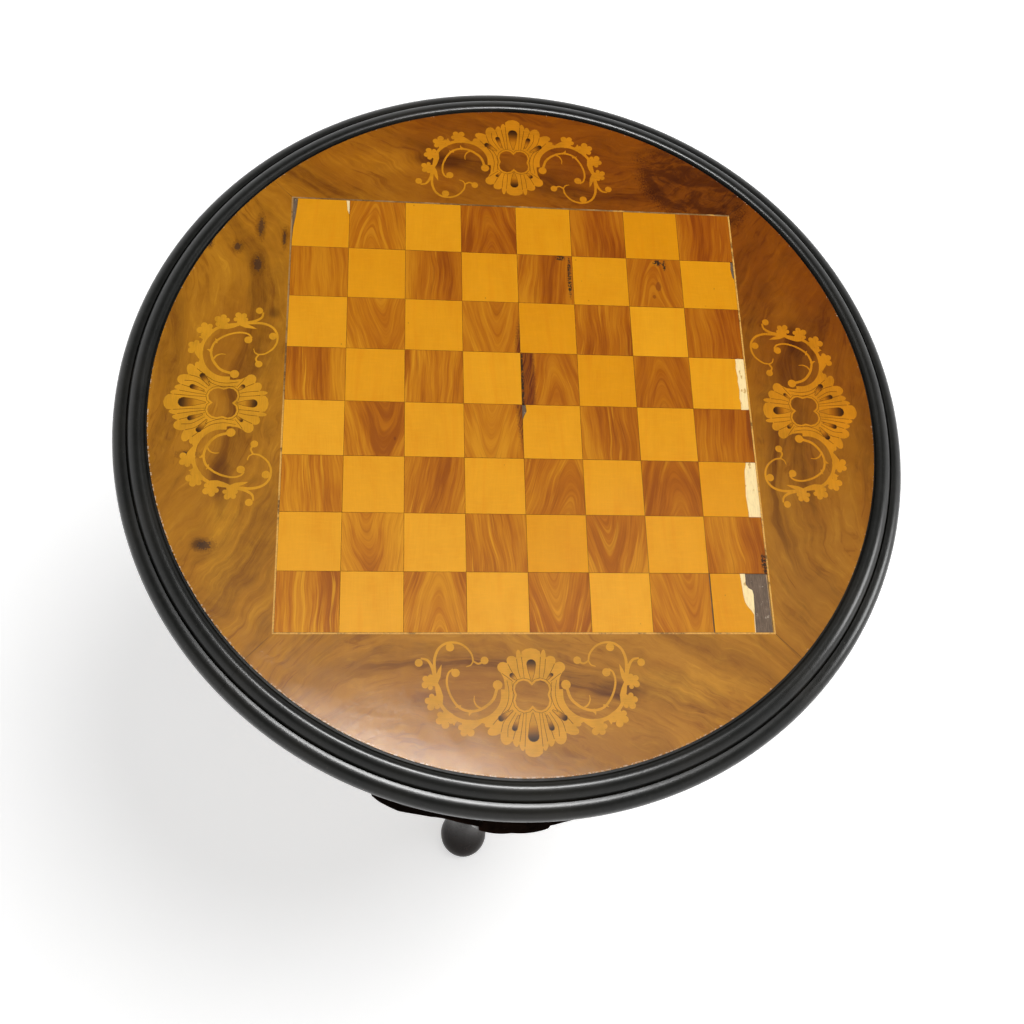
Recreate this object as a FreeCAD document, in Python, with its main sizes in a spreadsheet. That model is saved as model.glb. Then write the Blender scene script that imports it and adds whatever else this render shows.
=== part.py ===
"""Round games table: inlaid chessboard top, ebonised rim, shaped apron and four cabriole legs.

Millimetres, +Z up. The origin is on the floor under the middle of the table. The front is -Y.
Every size is a cell of the sheet "Sizes", and the pieces are bound to those cells.
"""
import FreeCAD, Part
import math
import os
import re
import Sketcher
from FreeCAD import Placement, Rotation, Vector

SIZES = {
    # the board and the top
    "table_height": 700,            # floor to the playing surface
    "square_side": 44.5,            # one square of the board
    "board_offset": 3.2,            # middle of the board behind the middle of the top
    "veneer_thickness": 1.5,        # saw-cut veneer
    "stringing_width": 1.2,         # light line round the board
    "veneer_radius": 276,           # edge of the walnut surround, inside the rim
    "core_thickness": 18,
    "tongue_width": 6,              # loose tongues between the core boards
    "tongue_depth": 5,              # into each board
    "tongue_stop": 12,              # tongues stop short of the edge
    "joint_clearance": 0.1,         # round tongues, tenons, laps and screws
    # the rim moulding
    "rim_width": 27,
    "rim_crest": 1.5,               # torus above the playing surface
    "quirk_width": 1.6,
    "quirk_depth": 1.4,
    "torus_width": 13.4,
    "torus_crest": 5.4,             # its highest line, from its inside
    "torus_inner_fullness": 0.78,   # radius of an arc over its chord
    "torus_outer_fullness": 0.95,
    "torus_fall": 5,                # outer foot of the torus below the surface
    "groove_width": 1.2,
    "groove_depth": 7.5,
    "bead_fall": 13.5,              # widest line of the rim below the surface
    "bead_upper_fullness": 0.72,
    "bead_lower_fullness": 0.75,
    "rim_undercut": 3,              # underside of the rim inside its widest line
    # the marquetry cartouches
    "inlay_margin": 9.5,            # walnut between a cartouche and the board or the rim
    "inlay_slimness": 0.64,         # half its width over half its height
    "inlay_spread": 0.22,           # how much wider the outer half is
    "lobe_fullness": 0.62,          # radius of a lobe over its chord
    "spray_width": 1.08,            # scroll on each side, in half heights of its cartouche
    "spray_height": 1.03,
    "spray_root": 0.36,             # outwards from the middle of the cartouche
    "spray_gap": 0.13,              # from the side of the cartouche
    "spray_inner_fullness": 0.66,
    "spray_outer_fullness": 0.56,
    # the apron
    "rim_overhang": 13,             # rim outside the apron's face
    "apron_thickness": 22,
    "apron_depth": 64.5,            # below the core
    "apron_drop_width": 58,         # lobe in the middle of each apron
    "apron_arch_margin": 8,         # from the end of an arch to the end of a bracket
    "apron_arch_fullness": 0.62,
    "apron_bead": 2.5,              # radius of the round on the lower edge
    # tenons and laps
    "tenon_length": 18,
    "tenon_thickness": 9,
    "tenon_height": 40,
    "tenon_top": 12,                # shoulder above the tenon
    "tenon_inset": 12.5,            # middle of the tenon behind the apron's face
    # the knee brackets
    "bracket_span": 27,             # degrees, from the middle of the leg
    "bracket_drop": 41,             # below the apron
    "bracket_seat": 20,             # thickness where it meets the apron
    "flare_swell": 7.5,             # most prominent line of the bracket in front of the apron
    "flare_drop": 30,               # that line below the apron
    "flare_end": 17.5,              # degrees, where the flare starts to fade
    "flare_hollow_fullness": 1.1,
    "flare_round_fullness": 0.8,
    "hollow_start": 5.5,            # degrees, where the flare dips between the knee and the ear
    "hollow_fullness": 9,
    "fade_fullness": 3.4,
    "bracket_tuck": 6,              # foot of the bracket behind its most prominent line
    "valley_start": 43,             # notch between the knee and the ear, from the middle of the leg
    "valley_end": 67,
    "valley_fullness": 0.56,
    "ear_end": 110,
    "ear_fullness": 0.62,
    "ear_rise": 12,                 # end of the ear above its foot
    "sweep_fullness": 0.9,          # hollow from the ear up to the apron
    # the legs
    "leg_width": 52,                # at the post and the knee
    "leg_depth": 42,                # at the post
    "post_ridge": 6,                # ridge in front of the apron's face
    "knee_drop": 27,                # most prominent point of the knee below the apron
    "knee_swell": 9,                # in front of the apron's face
    "knee_ridge": 3,                # ridge of the knee in front of its corners
    "knee_depth": 58,
    "knee_round": 7,                # rounding of the back, at the post and the knee
    "knee_fullness": 2.4,           # radius of a front facet over its chord
    "ankle_height": 120,
    "ankle_inset": 41,              # behind the apron's face
    "ankle_width": 25,
    "ankle_depth": 25,
    "ankle_ridge": 9,
    "ankle_round": 8,
    "ankle_fullness": 0.9,
    "instep_height": 38,
    "instep_inset": 21,
    "instep_width": 42,
    "instep_depth": 43,
    "pad_height": 17,               # widest line of the round pad foot
    "pad_inset": 10,
    "pad_width": 55,
    "pad_depth": 56,
    "sole_inset": 15,
    "sole_width": 45,
    "sole_depth": 46,
    "foot_heel": 0.9,               # rounding of the back of the foot, over half its width
    "foot_fullness": 0.72,          # facets of the instep, pad and sole, near quarter circles
    # the bearers, blocks and screws under the top
    "bearer_width": 36,
    "bearer_depth": 22,
    "bearer_lap": 16,               # into the top of each leg
    "block_side": 20,
    "block_height": 28,
    "block_chamfer": 10,
    "block_angle": 8,               # degrees
    "block_spread": 20,             # degrees, from the middle of an apron
    "screw_inner": 80,              # middle of the table to the inner screws
    "screw_edge": 78,               # from the inside of the apron to the outer screws
    "screw_diameter": 4.5,
    "screw_length": 30,
    "screw_head_diameter": 9,
    "screw_head_height": 3,
}

SIDES = ("front", "right", "back", "left")
CORNERS = ("front_right", "back_right", "back_left", "front_left")
QUARTER = 90
BOARD_SQUARES = 8
CORE_BOARDS = 5
LOBES = 10
LEG_STATIONS = (0.12, 0.32, 0.56, 0.78)    # between the knee and the ankle
OVERCUT = 1                                # how far a cutter runs past the face it opens
THROUGH = "(4 * table_height)"             # long enough to cut through the whole table

# heights above the floor, and other lengths that several pieces share
UNDER_VENEER = "(table_height - veneer_thickness)"
UNDER_CORE = "(table_height - veneer_thickness - core_thickness)"
UNDER_APRON = f"({UNDER_CORE} - apron_depth)"
UNDER_BEARER = f"({UNDER_CORE} - bearer_depth)"
HALF_BOARD = f"({BOARD_SQUARES // 2} * square_side)"
HALF_FIELD = f"({HALF_BOARD} + stringing_width)"
KNEE_HEIGHT = f"({UNDER_APRON} - knee_drop)"
FLARE_HEIGHT = f"({UNDER_APRON} - flare_drop)"
APRON_RADIUS = "(veneer_radius + rim_width - rim_overhang)"
APRON_INSIDE = f"({APRON_RADIUS} - apron_thickness)"
FLARE_RADIUS = f"({APRON_RADIUS} + flare_swell)"
POST_FRONT = f"(sqrt({APRON_RADIUS} ^ 2 - (leg_width / 2) ^ 2) + post_ridge)"
POST_BACK = f"({POST_FRONT} - leg_depth)"
INLAY_REACH = f"(({HALF_FIELD} + veneer_radius) / 2)"
INLAY_HALF_HEIGHT = f"((veneer_radius - {HALF_FIELD}) / 2 - inlay_margin)"
INLAY_HALF_WIDTH = f"({INLAY_HALF_HEIGHT} * inlay_slimness)"

doc = FreeCAD.newDocument("GamesTable")
sheet = doc.addObject("Spreadsheet::Sheet", "Sizes")


def fill_sheet():
    for row, (name, size) in enumerate(SIZES.items(), start=1):
        sheet.set(f"A{row}", name)
        sheet.set(f"B{row}", str(size))
        sheet.setAlias(f"B{row}", name)
    doc.recompute()


def bound(expression):
    """The expression with each size's name turned into a reference to its cell."""
    def cell(word):
        return f"Sizes.{word[0]}" if word[0] in SIZES else word[0]

    return re.sub(r"[a-z]\w+", cell, str(expression))


def value(expression):
    """What the expression comes to now."""
    found = sheet.evalExpression(bound(expression))
    return float(getattr(found, "Value", found))


def bind(thing, **expressions):
    for path, expression in expressions.items():
        thing.setExpression(path.replace("__", "."), bound(expression))


def turned(x, y, angle):
    """A point turned about the middle of the table."""
    return f"cos({angle}) * ({x}) - sin({angle}) * ({y})", f"sin({angle}) * ({x}) + cos({angle}) * ({y})"


def about_z(angle):
    return Placement(Vector(0, 0, 0), Rotation(Vector(0, 0, 1), angle))


# ---- sketches and bodies -------------------------------------------------------------------

def new_body(label):
    body = doc.addObject("PartDesign::Body", label)
    body.Label = label
    return body


def new_sketch(body, plane, offset=None):
    """A sketch on one of the body's own planes, lifted along its normal by an expression."""
    sketch = body.newObject("Sketcher::SketchObject", f"{body.Name}_sketch")
    origin = body.Origin.OriginFeatures
    sketch.AttachmentSupport = [(next(item for item in origin if item.Role == plane), "")]
    sketch.MapMode = "FlatFace"
    if offset is not None:
        bind(sketch, AttachmentOffset__Base__z=offset)
    return sketch


def chord_of(start, end):
    return f"sqrt((({end[0]}) - ({start[0]})) ^ 2 + (({end[1]}) - ({start[1]})) ^ 2)"


def outline(sketch, corners, bulges=()):
    """A closed outline through the corners, given anticlockwise.

    bulges: edge number -> (radius, side). Side +1 swells outwards and -1 is hollow.
    A radius of ("chords", fullness) is that many chords.
    """
    bulges = dict(bulges)
    points = [Vector(value(x), value(y), 0) for x, y in corners]
    first = sketch.GeometryCount
    ends = []
    for edge, (start, end) in enumerate(zip(points, points[1:] + points[:1])):
        if edge not in bulges:
            sketch.addGeometry(Part.LineSegment(start, end), False)
            ends.append((1, 2))
            continue
        radius, side = bulges[edge]
        if isinstance(radius, tuple):
            radius = f"({radius[1]}) * {chord_of(corners[edge], corners[(edge + 1) % len(corners)])}"
        size = value(radius)
        along = end - start
        middle = (start + end) * 0.5
        outwards = Vector(along.y, -along.x, 0).normalize() * side
        sagitta = size - math.sqrt(max(size * size - (along.Length / 2) ** 2, 0))
        sketch.addGeometry(Part.Arc(start, middle + outwards * sagitta, end), False)
        ends.append((1, 2) if side > 0 else (2, 1))
        number = sketch.addConstraint(Sketcher.Constraint("Radius", first + edge, size))
        sketch.setExpression(f"Constraints[{number}]", bound(radius))
    for edge, (x, y) in enumerate(corners):
        before = (edge - 1) % len(corners)
        sketch.addConstraint(Sketcher.Constraint(
            "Coincident", first + before, ends[before][1], first + edge, ends[edge][0]))
        for axis, coordinate in (("DistanceX", x), ("DistanceY", y)):
            number = sketch.addConstraint(Sketcher.Constraint(
                axis, first + edge, ends[edge][0], value(coordinate)))
            sketch.setExpression(f"Constraints[{number}]", bound(coordinate))


def padded(body, sketch, length, downwards=False):
    pad = body.newObject("PartDesign::Pad", f"{body.Name}_pad")
    pad.Profile = sketch
    pad.Reversed = downwards
    bind(pad, Length=length)
    return pad


def revolved(body, sketch, angle, midplane=False, reverse=False):
    turning = body.newObject("PartDesign::Revolution", f"{body.Name}_revolution")
    turning.Profile = sketch
    turning.ReferenceAxis = (sketch, ["V_Axis"])
    turning.Midplane = midplane
    turning.Reversed = reverse
    bind(turning, Angle=angle)
    return turning


def pocketed(body, sketch, length):
    """A pocket that runs both ways from its sketch."""
    pocket = body.newObject("PartDesign::Pocket", f"{body.Name}_pocket")
    pocket.Profile = sketch
    pocket.Midplane = True
    bind(pocket, Length=length)
    return pocket


# ---- blocks, bores and booleans --------------------------------------------------------------

def block(name, low, size, angle=0):
    """A box with its low corner and sides given by expressions, turned about the middle."""
    box = doc.addObject("Part::Box", name)
    x, y = turned(low[0], low[1], angle)
    box.Placement = about_z(angle)
    bind(box, Length=size[0], Width=size[1], Height=size[2],
         Placement__Base__x=x, Placement__Base__y=y, Placement__Base__z=low[2])
    return box


def bore(name, centre, low, radius, height):
    cylinder = doc.addObject("Part::Cylinder", name)
    bind(cylinder, Radius=radius, Height=height,
         Placement__Base__x=centre[0], Placement__Base__y=centre[1], Placement__Base__z=low)
    return cylinder


def group(name, things):
    compound = doc.addObject("Part::Compound", name)
    compound.Links = list(things)
    return compound


def cut(name, base, tool):
    result = doc.addObject("Part::Cut", name)
    result.Base = base
    result.Tool = tool
    return result


def fused(name, things):
    result = doc.addObject("Part::MultiFuse", name)
    result.Shapes = list(things)
    result.Refine = True
    return result


# ---- the top ---------------------------------------------------------------------------------

def chess_squares():
    """Thirty-two light and thirty-two dark squares, with a light one at each player's right."""
    tones = {"light_squares": [], "dark_squares": []}
    for column in range(BOARD_SQUARES):
        for row in range(BOARD_SQUARES):
            tone = "dark_squares" if (column + row) % 2 == 0 else "light_squares"
            low = (f"{column} * square_side - {HALF_BOARD}",
                   f"{row} * square_side - {HALF_BOARD} + board_offset", UNDER_VENEER)
            size = ("square_side", "square_side", "veneer_thickness")
            tones[tone].append(block(f"square_{column}_{row}", low, size))
    return [group(name, squares) for name, squares in tones.items()]


def set_on_board(body, turn):
    """Turned to its side, about the middle of the board."""
    body.Placement = about_z(turn)
    bind(body, Placement__Base__y="board_offset")


def stringing(side, turn):
    """One mitred strip of the light line round the board."""
    body = new_body(f"stringing_{side}")
    sketch = new_sketch(body, "XY_Plane", UNDER_VENEER)
    outline(sketch, [(f"-{HALF_FIELD}", f"-{HALF_FIELD}"), (HALF_FIELD, f"-{HALF_FIELD}"),
                     (HALF_BOARD, f"-{HALF_BOARD}"), (f"-{HALF_BOARD}", f"-{HALF_BOARD}")])
    padded(body, sketch, "veneer_thickness")
    set_on_board(body, turn)
    return body


def cartouche(side, turn):
    """A lobed cartouche with a leaf spray on each side, let into the walnut."""
    body = new_body(f"cartouche_{side}")
    body.AllowCompound = True
    sketch = new_sketch(body, "XY_Plane", UNDER_VENEER)
    lobes = []
    for lobe in range(LOBES):
        angle = f"{360 * lobe / LOBES:.3f}"
        lobes.append((f"{INLAY_HALF_WIDTH} * cos({angle}) * (1 - inlay_spread * sin({angle}))",
                      f"{INLAY_HALF_HEIGHT} * sin({angle}) - {INLAY_REACH}"))
    outline(sketch, lobes, {lobe: (("chords", "lobe_fullness"), 1) for lobe in range(LOBES)})
    root = f"({INLAY_HALF_WIDTH} + spray_gap * {INLAY_HALF_HEIGHT})"
    root_level = f"-({INLAY_REACH} + spray_root * {INLAY_HALF_HEIGHT})"
    for hand in (1, -1):
        ends = [(f"{hand} * {root}", root_level),
                (f"{hand} * ({root} + spray_width * {INLAY_HALF_HEIGHT})",
                 f"{root_level} + spray_height * {INLAY_HALF_HEIGHT}")]
        outline(sketch, ends if hand > 0 else ends[::-1],
                {0: (("chords", "spray_outer_fullness"), 1), 1: (("chords", "spray_inner_fullness"), -1)})
    padded(body, sketch, "veneer_thickness")
    set_on_board(body, turn)
    return body


def walnut_panel(side, turn, inlay):
    """One mitred panel of the surround, cut out for its cartouche."""
    body = new_body(f"panel_blank_{side}")
    sketch = new_sketch(body, "XY_Plane", UNDER_VENEER)
    corner = "veneer_radius * sqrt(0.5)"
    aside = f"board_offset * sin({turn})"
    inwards = f"board_offset * cos({turn}) - {HALF_FIELD}"
    outline(sketch, [(f"-({corner})", f"-({corner})"), (corner, f"-({corner})"),
                     (f"{HALF_FIELD} + {aside}", inwards), (f"{aside} - {HALF_FIELD}", inwards)],
            {0: ("veneer_radius", 1)})
    padded(body, sketch, "veneer_thickness")
    body.Placement = about_z(turn)
    return cut(f"walnut_panel_{side}", body, inlay)


def screw_places():
    outer = f"({APRON_INSIDE} - screw_edge)"
    reaches = [f"-{outer}", "-screw_inner", "screw_inner", outer]
    return [("0", reach) for reach in reaches] + [(reach, "0") for reach in reaches]


def core_boards():
    """Boards edge jointed with loose tongues, and bored for the top screws."""
    width = f"(2 * veneer_radius / {CORE_BOARDS})"
    bores = group("core_bores", [
        bore(f"core_bore_{number}", place, f"{UNDER_CORE} - joint_clearance",
             "screw_diameter / 2 + joint_clearance", f"screw_length - bearer_depth + 2 * joint_clearance")
        for number, place in enumerate(screw_places())])
    middle_height = f"({UNDER_CORE} + core_thickness / 2 - tongue_width / 2)"
    tongues = []
    grooves = []
    for number in range(1, CORE_BOARDS):
        joint = number - CORE_BOARDS / 2
        reach = f"(sqrt(veneer_radius ^ 2 - ({joint} * {width}) ^ 2) - tongue_stop)"
        for loose, gap in ((tongues, "0"), (grooves, "joint_clearance")):
            low = (f"-({reach} + {gap})", f"{joint} * {width} - tongue_depth - {gap}",
                   f"{middle_height} - {gap}")
            size = (f"2 * ({reach} + {gap})", f"2 * (tongue_depth + {gap})", f"tongue_width + 2 * {gap}")
            loose.append(block(f"core_{'groove' if loose is grooves else 'tongue'}_{number}", low, size))
    waste = group("core_waste", grooves + [bores])
    pieces = [group("core_tongues", tongues)]
    for number in range(CORE_BOARDS):
        disc = bore(f"core_disc_{number + 1}", ("0", "0"), UNDER_CORE, "veneer_radius", "core_thickness")
        edge = f"{number - CORE_BOARDS / 2} * {width}"
        strip = block(f"core_strip_{number + 1}", ("-veneer_radius", edge, UNDER_CORE),
                      ("2 * veneer_radius", width, "core_thickness"))
        blank = doc.addObject("Part::Common", f"core_blank_{number + 1}")
        blank.Base = disc
        blank.Tool = strip
        pieces.append(cut(f"core_board_{number + 1}", blank, waste))
    return pieces


def rim_moulding(side, turn):
    """A quarter of the ebonised moulding: quirk, torus, groove and bead, undercut below."""
    body = new_body(f"rim_{side}")
    sketch = new_sketch(body, "YZ_Plane")
    outside = "(veneer_radius + rim_width)"
    torus_in = "(veneer_radius + quirk_width)"
    torus_out = f"({torus_in} + torus_width)"
    bead_in = f"({torus_out} + groove_width)"
    surface = "table_height"
    corners = [
        ("-veneer_radius", UNDER_CORE),
        ("-veneer_radius", f"{surface} - quirk_depth"),
        (f"-{torus_in}", f"{surface} - quirk_depth"),
        (f"-({torus_in} + torus_crest)", f"{surface} + rim_crest"),
        (f"-{torus_out}", f"{surface} - torus_fall"),
        (f"-({torus_out} + groove_width / 2)", f"{surface} - groove_depth"),
        (f"-{bead_in}", f"{surface} - torus_fall"),
        (f"-{outside}", f"{surface} - bead_fall"),
        (f"-({outside} - rim_undercut)", UNDER_CORE),
    ]
    bulges = {
        2: (("chords", "torus_inner_fullness"), 1),
        3: (("chords", "torus_outer_fullness"), 1),
        6: (("chords", "bead_upper_fullness"), 1),
        7: (("chords", "bead_lower_fullness"), 1),
    }
    outline(sketch, corners, bulges)
    revolved(body, sketch, QUARTER, midplane=True)
    body.Placement = about_z(turn)
    return body


# ---- the legs --------------------------------------------------------------------------------

def leg_section(body, height, width, front, depth, ridge, rounding, fullness):
    """A level section of a leg: two facets meet in a ridge in front, and the back is rounded."""
    sketch = new_sketch(body, "XY_Plane", height)
    half = f"({width}) / 2"
    shoulder = f"-(({front}) - ({ridge}))"
    back = f"-(({front}) - ({depth}) + ({rounding}))"
    heel = f"((({half}) ^ 2 + ({rounding}) ^ 2) / (2 * ({rounding})))"
    outline(sketch, [("0", f"-({front})"), (half, shoulder), (half, back), (f"-({half})", back),
                     (f"-({half})", shoulder)],
            {0: (("chords", fullness), 1), 2: (heel, 1), 4: (("chords", fullness), 1)})
    return sketch


def between(start, end, share):
    """A size that eases from one end of a curve to the other."""
    eased = share * share * (3 - 2 * share)
    return f"(({start}) + {eased:.4f} * (({end}) - ({start})))"


def evenly(start, end, share):
    return f"(({start}) + {share} * (({end}) - ({start})))"


def cabriole(label):
    """A post, a knee, a slender ankle and a round pad foot, in one piece."""
    body = new_body(label)
    post = ("leg_width", POST_FRONT, "leg_depth", "post_ridge", "knee_round", "knee_fullness")
    knee = ("leg_width", f"({APRON_RADIUS} + knee_swell)", "knee_depth", "knee_ridge", "knee_round",
            "knee_fullness")
    ankle = ("ankle_width", f"({APRON_RADIUS} - ankle_inset)", "ankle_depth", "ankle_ridge", "ankle_round",
             "ankle_fullness")
    instep, pad, sole = [
        (f"{part}_width", f"({APRON_RADIUS} - {part}_inset)", f"{part}_depth", f"{part}_width / 2",
         f"{part}_width / 2 * foot_heel", "foot_fullness") for part in ("instep", "pad", "sole")]
    stations = [(UNDER_APRON, post),
                (evenly(UNDER_APRON, KNEE_HEIGHT, 0.5), [between(p, k, 0.5) for p, k in zip(post, knee)]),
                (KNEE_HEIGHT, knee)]
    for share in LEG_STATIONS:
        sizes = [between(high, low, share) for high, low in zip(knee, ankle)]
        stations.append((evenly(KNEE_HEIGHT, "ankle_height", share), sizes))
    stations += [("ankle_height", ankle), ("instep_height", instep), ("pad_height", pad), ("0", sole)]
    padded(body, leg_section(body, UNDER_APRON, *post), "apron_depth")
    sections = [leg_section(body, height, *sizes) for height, sizes in stations]
    loft = body.newObject("PartDesign::AdditiveLoft", f"{label}_loft")
    loft.Profile = sections[0]
    loft.Sections = sections[1:]
    return body


def tenon_block(name, hand, gap, root, turn=0):
    """A tenon, or with a gap round it its mortise, on one side of a leg."""
    inner = f"(leg_width / 2 - tenon_length - {gap})"
    length = f"(tenon_length + {gap} + {root})"
    low_x = inner if hand > 0 else f"-({inner} + {length})"
    low = (low_x, f"-({APRON_RADIUS} - tenon_inset + tenon_thickness / 2 + {gap})",
           f"{UNDER_CORE} - tenon_top - tenon_height - {gap}")
    size = (length, f"tenon_thickness + 2 * {gap}", f"tenon_height + 2 * {gap}")
    return block(name, low, size, turn)


def leg(side, turn):
    """A leg, mortised for two aprons and housed for the end of its bearer."""
    blank = cabriole(f"leg_blank_{side}")
    mortises = [tenon_block(f"mortise_{side}_{hand + 1}", hand, "joint_clearance", OVERCUT)
                for hand in (1, -1)]
    half = "(bearer_width / 2 + joint_clearance)"
    housing = block(f"housing_{side}",
                    (f"-{half}", f"-({POST_BACK} + bearer_lap + joint_clearance)",
                     f"{UNDER_BEARER} - joint_clearance"),
                    (f"2 * {half}", THROUGH, THROUGH))
    piece = cut(f"leg_{side}", blank, group(f"leg_waste_{side}", mortises + [housing]))
    piece.Placement = about_z(turn)
    return piece


# ---- the apron and its brackets --------------------------------------------------------------

def apron(corner, turn):
    """A curved rail between two legs, arched below, with a tenon at each end."""
    body = new_body(f"apron_blank_{corner}")
    section = new_sketch(body, "YZ_Plane")
    outline(section, [(f"-{APRON_INSIDE}", UNDER_APRON), (f"-{APRON_INSIDE}", UNDER_CORE),
                      (f"-{APRON_RADIUS}", UNDER_CORE), (f"-{APRON_RADIUS}", f"{UNDER_APRON} + apron_bead"),
                      (f"-({APRON_RADIUS} - apron_bead)", UNDER_APRON)],
            {3: ("apron_bead", 1)})
    revolved(body, section, QUARTER, midplane=True)
    elevation = new_sketch(body, "XZ_Plane")
    for hand in (1, -1):
        near = f"{hand} * apron_drop_width / 2"
        far = f"{hand} * ({APRON_RADIUS} * sin({QUARTER / 2} - bracket_span) - apron_arch_margin)"
        level = f"{UNDER_APRON} - apron_bead"
        ends = [(near, level), (far, level)]
        outline(elevation, ends if hand > 0 else ends[::-1], {1: (("chords", "apron_arch_fullness"), 1)})
    pocketed(body, elevation, THROUGH)
    body.Placement = about_z(turn)
    notches = []
    tenons = []
    for hand, leg_turn in ((1, turn - QUARTER // 2), (-1, turn + QUARTER // 2)):
        low = ("-leg_width / 2", f"-{THROUGH}", f"{UNDER_APRON} - {OVERCUT}")
        size = ("leg_width", THROUGH, f"apron_depth + 2 * {OVERCUT}")
        notches.append(block(f"notch_{corner}_{hand + 1}", low, size, leg_turn))
        tenons.append(tenon_block(f"tenon_{corner}_{hand + 1}", hand, "0", "tenon_length / 2", leg_turn))
    shouldered = cut(f"apron_shouldered_{corner}", body, group(f"notches_{corner}", notches))
    return fused(f"apron_{corner}", [shouldered] + tenons)


def mirrored(corners, bulges):
    """The same outline on the other side of the leg, still anticlockwise."""
    edges = len(corners)
    flipped = [(f"-({x})", y) for x, y in corners[::-1]]
    return flipped, {(edges - 2 - edge) % edges: bulge for edge, bulge in bulges.items()}


def knee_bracket(side, turn, hand, blank_leg):
    """A flared bracket under the apron: a knee lobe, a hollow, and an ear whose flare fades at its end."""
    name = "right" if hand > 0 else "left"
    body = new_body(f"bracket_blank_{side}_{name}")
    section = new_sketch(body, "YZ_Plane")
    foot = f"({UNDER_APRON} - bracket_drop)"
    inside = f"({APRON_RADIUS} - apron_bead - bracket_seat)"
    outline(section, [(f"-{inside}", foot), (f"-{inside}", UNDER_APRON),
                      (f"-({APRON_RADIUS} - apron_bead)", UNDER_APRON), (f"-{FLARE_RADIUS}", FLARE_HEIGHT),
                      (f"-({FLARE_RADIUS} - bracket_tuck)", foot)],
            {2: (("chords", "flare_hollow_fullness"), -1), 3: (("chords", "flare_round_fullness"), 1)})
    revolved(body, section, "bracket_span", reverse=hand < 0)
    below = f"({foot} - bracket_drop)"
    tip = f"({APRON_RADIUS} - apron_bead) * sin(bracket_span)"
    far = f"({tip} + bracket_drop)"
    scallops = ([("valley_start", below), (far, below), (far, UNDER_APRON), (tip, UNDER_APRON),
                 ("ear_end", f"{foot} + ear_rise"), ("valley_end", foot), ("valley_start", foot)],
                {3: (("chords", "sweep_fullness"), 1), 4: (("chords", "ear_fullness"), -1),
                 5: (("chords", "valley_fullness"), 1)})
    near, ear = [(f"{FLARE_RADIUS} * sin({angle})", f"-{FLARE_RADIUS} * cos({angle})")
                 for angle in ("hollow_start", "flare_end")]
    end = (f"{APRON_RADIUS} * sin(bracket_span)", f"-({APRON_RADIUS} - apron_bead) * cos(bracket_span)")
    outside = f"-({FLARE_RADIUS} + bracket_drop)"
    fade = ([(near[0], outside), (far, outside), (far, end[1]), end, ear, near],
            {3: (("chords", "fade_fullness"), -1), 4: (("chords", "hollow_fullness"), 1)})
    for plane, cutter in (("XZ_Plane", scallops), ("XY_Plane", fade)):
        sketch = new_sketch(body, plane)
        outline(sketch, *(cutter if hand > 0 else mirrored(*cutter)))
        pocketed(body, sketch, THROUGH)
    piece = cut(f"knee_bracket_{side}_{name}", body, blank_leg)
    piece.Placement = about_z(turn)
    return piece


# ---- under the top ---------------------------------------------------------------------------

def bearer(label, angle, notch_level):
    """A cross bearer lapped into two legs and halved over the other bearer."""
    reach = f"({POST_BACK} + bearer_lap)"
    bar = block(f"{label}_bar", ("-bearer_width / 2", f"-{reach}", UNDER_BEARER),
                ("bearer_width", f"2 * {reach}", "bearer_depth"), angle)
    half = "(bearer_width / 2 + joint_clearance)"
    halving = block(f"{label}_halving", (f"-{half}", f"-{half}", notch_level),
                    (f"2 * {half}", f"2 * {half}", "bearer_depth"), angle)
    bores = []
    for number, place in enumerate(screw_places()):
        bores.append(bore(f"{label}_bore_{number}", place, f"{UNDER_BEARER} - {OVERCUT}",
                          "screw_diameter / 2 + joint_clearance", f"bearer_depth + 2 * {OVERCUT}"))
        bores.append(screw_head(f"{label}_sink_{number}", place, "joint_clearance"))
    return cut(label, bar, group(f"{label}_waste", [halving] + bores))


def screw_head(name, place, gap):
    head = doc.addObject("Part::Cone", name)
    bind(head, Radius1=f"screw_head_diameter / 2 + {gap}", Radius2=f"screw_diameter / 2 + {gap}",
         Height="screw_head_height", Placement__Base__x=place[0], Placement__Base__y=place[1],
         Placement__Base__z=UNDER_BEARER)
    return head


def top_screws():
    """Countersunk screws, up through the bearers into the core."""
    screws = []
    for number, place in enumerate(screw_places()):
        head = screw_head(f"screw_head_{number}", place, "0")
        shank = bore(f"screw_shank_{number}", place, UNDER_BEARER, "screw_diameter / 2", "screw_length")
        screws.append(fused(f"screw_{number}", [head, shank]))
    return group("top_screws", screws)


def glue_block(corner, turn, hand):
    """A block rubbed into the angle of an apron and the core."""
    body = new_body(f"glue_block_{corner}_{'a' if hand > 0 else 'b'}")
    section = new_sketch(body, "YZ_Plane")
    inner = f"({APRON_INSIDE} - block_side)"
    foot = f"({UNDER_CORE} - block_height)"
    outline(section, [(f"-{inner}", f"{foot} + block_chamfer"), (f"-{inner}", UNDER_CORE),
                      (f"-{APRON_INSIDE}", UNDER_CORE), (f"-{APRON_INSIDE}", foot),
                      (f"-({inner} + block_chamfer)", foot)])
    revolved(body, section, "block_angle", midplane=True)
    bind(body, Placement__Rotation__Angle=f"{turn} + {hand} * block_spread")
    return body


# ---- the whole table -------------------------------------------------------------------------

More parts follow.
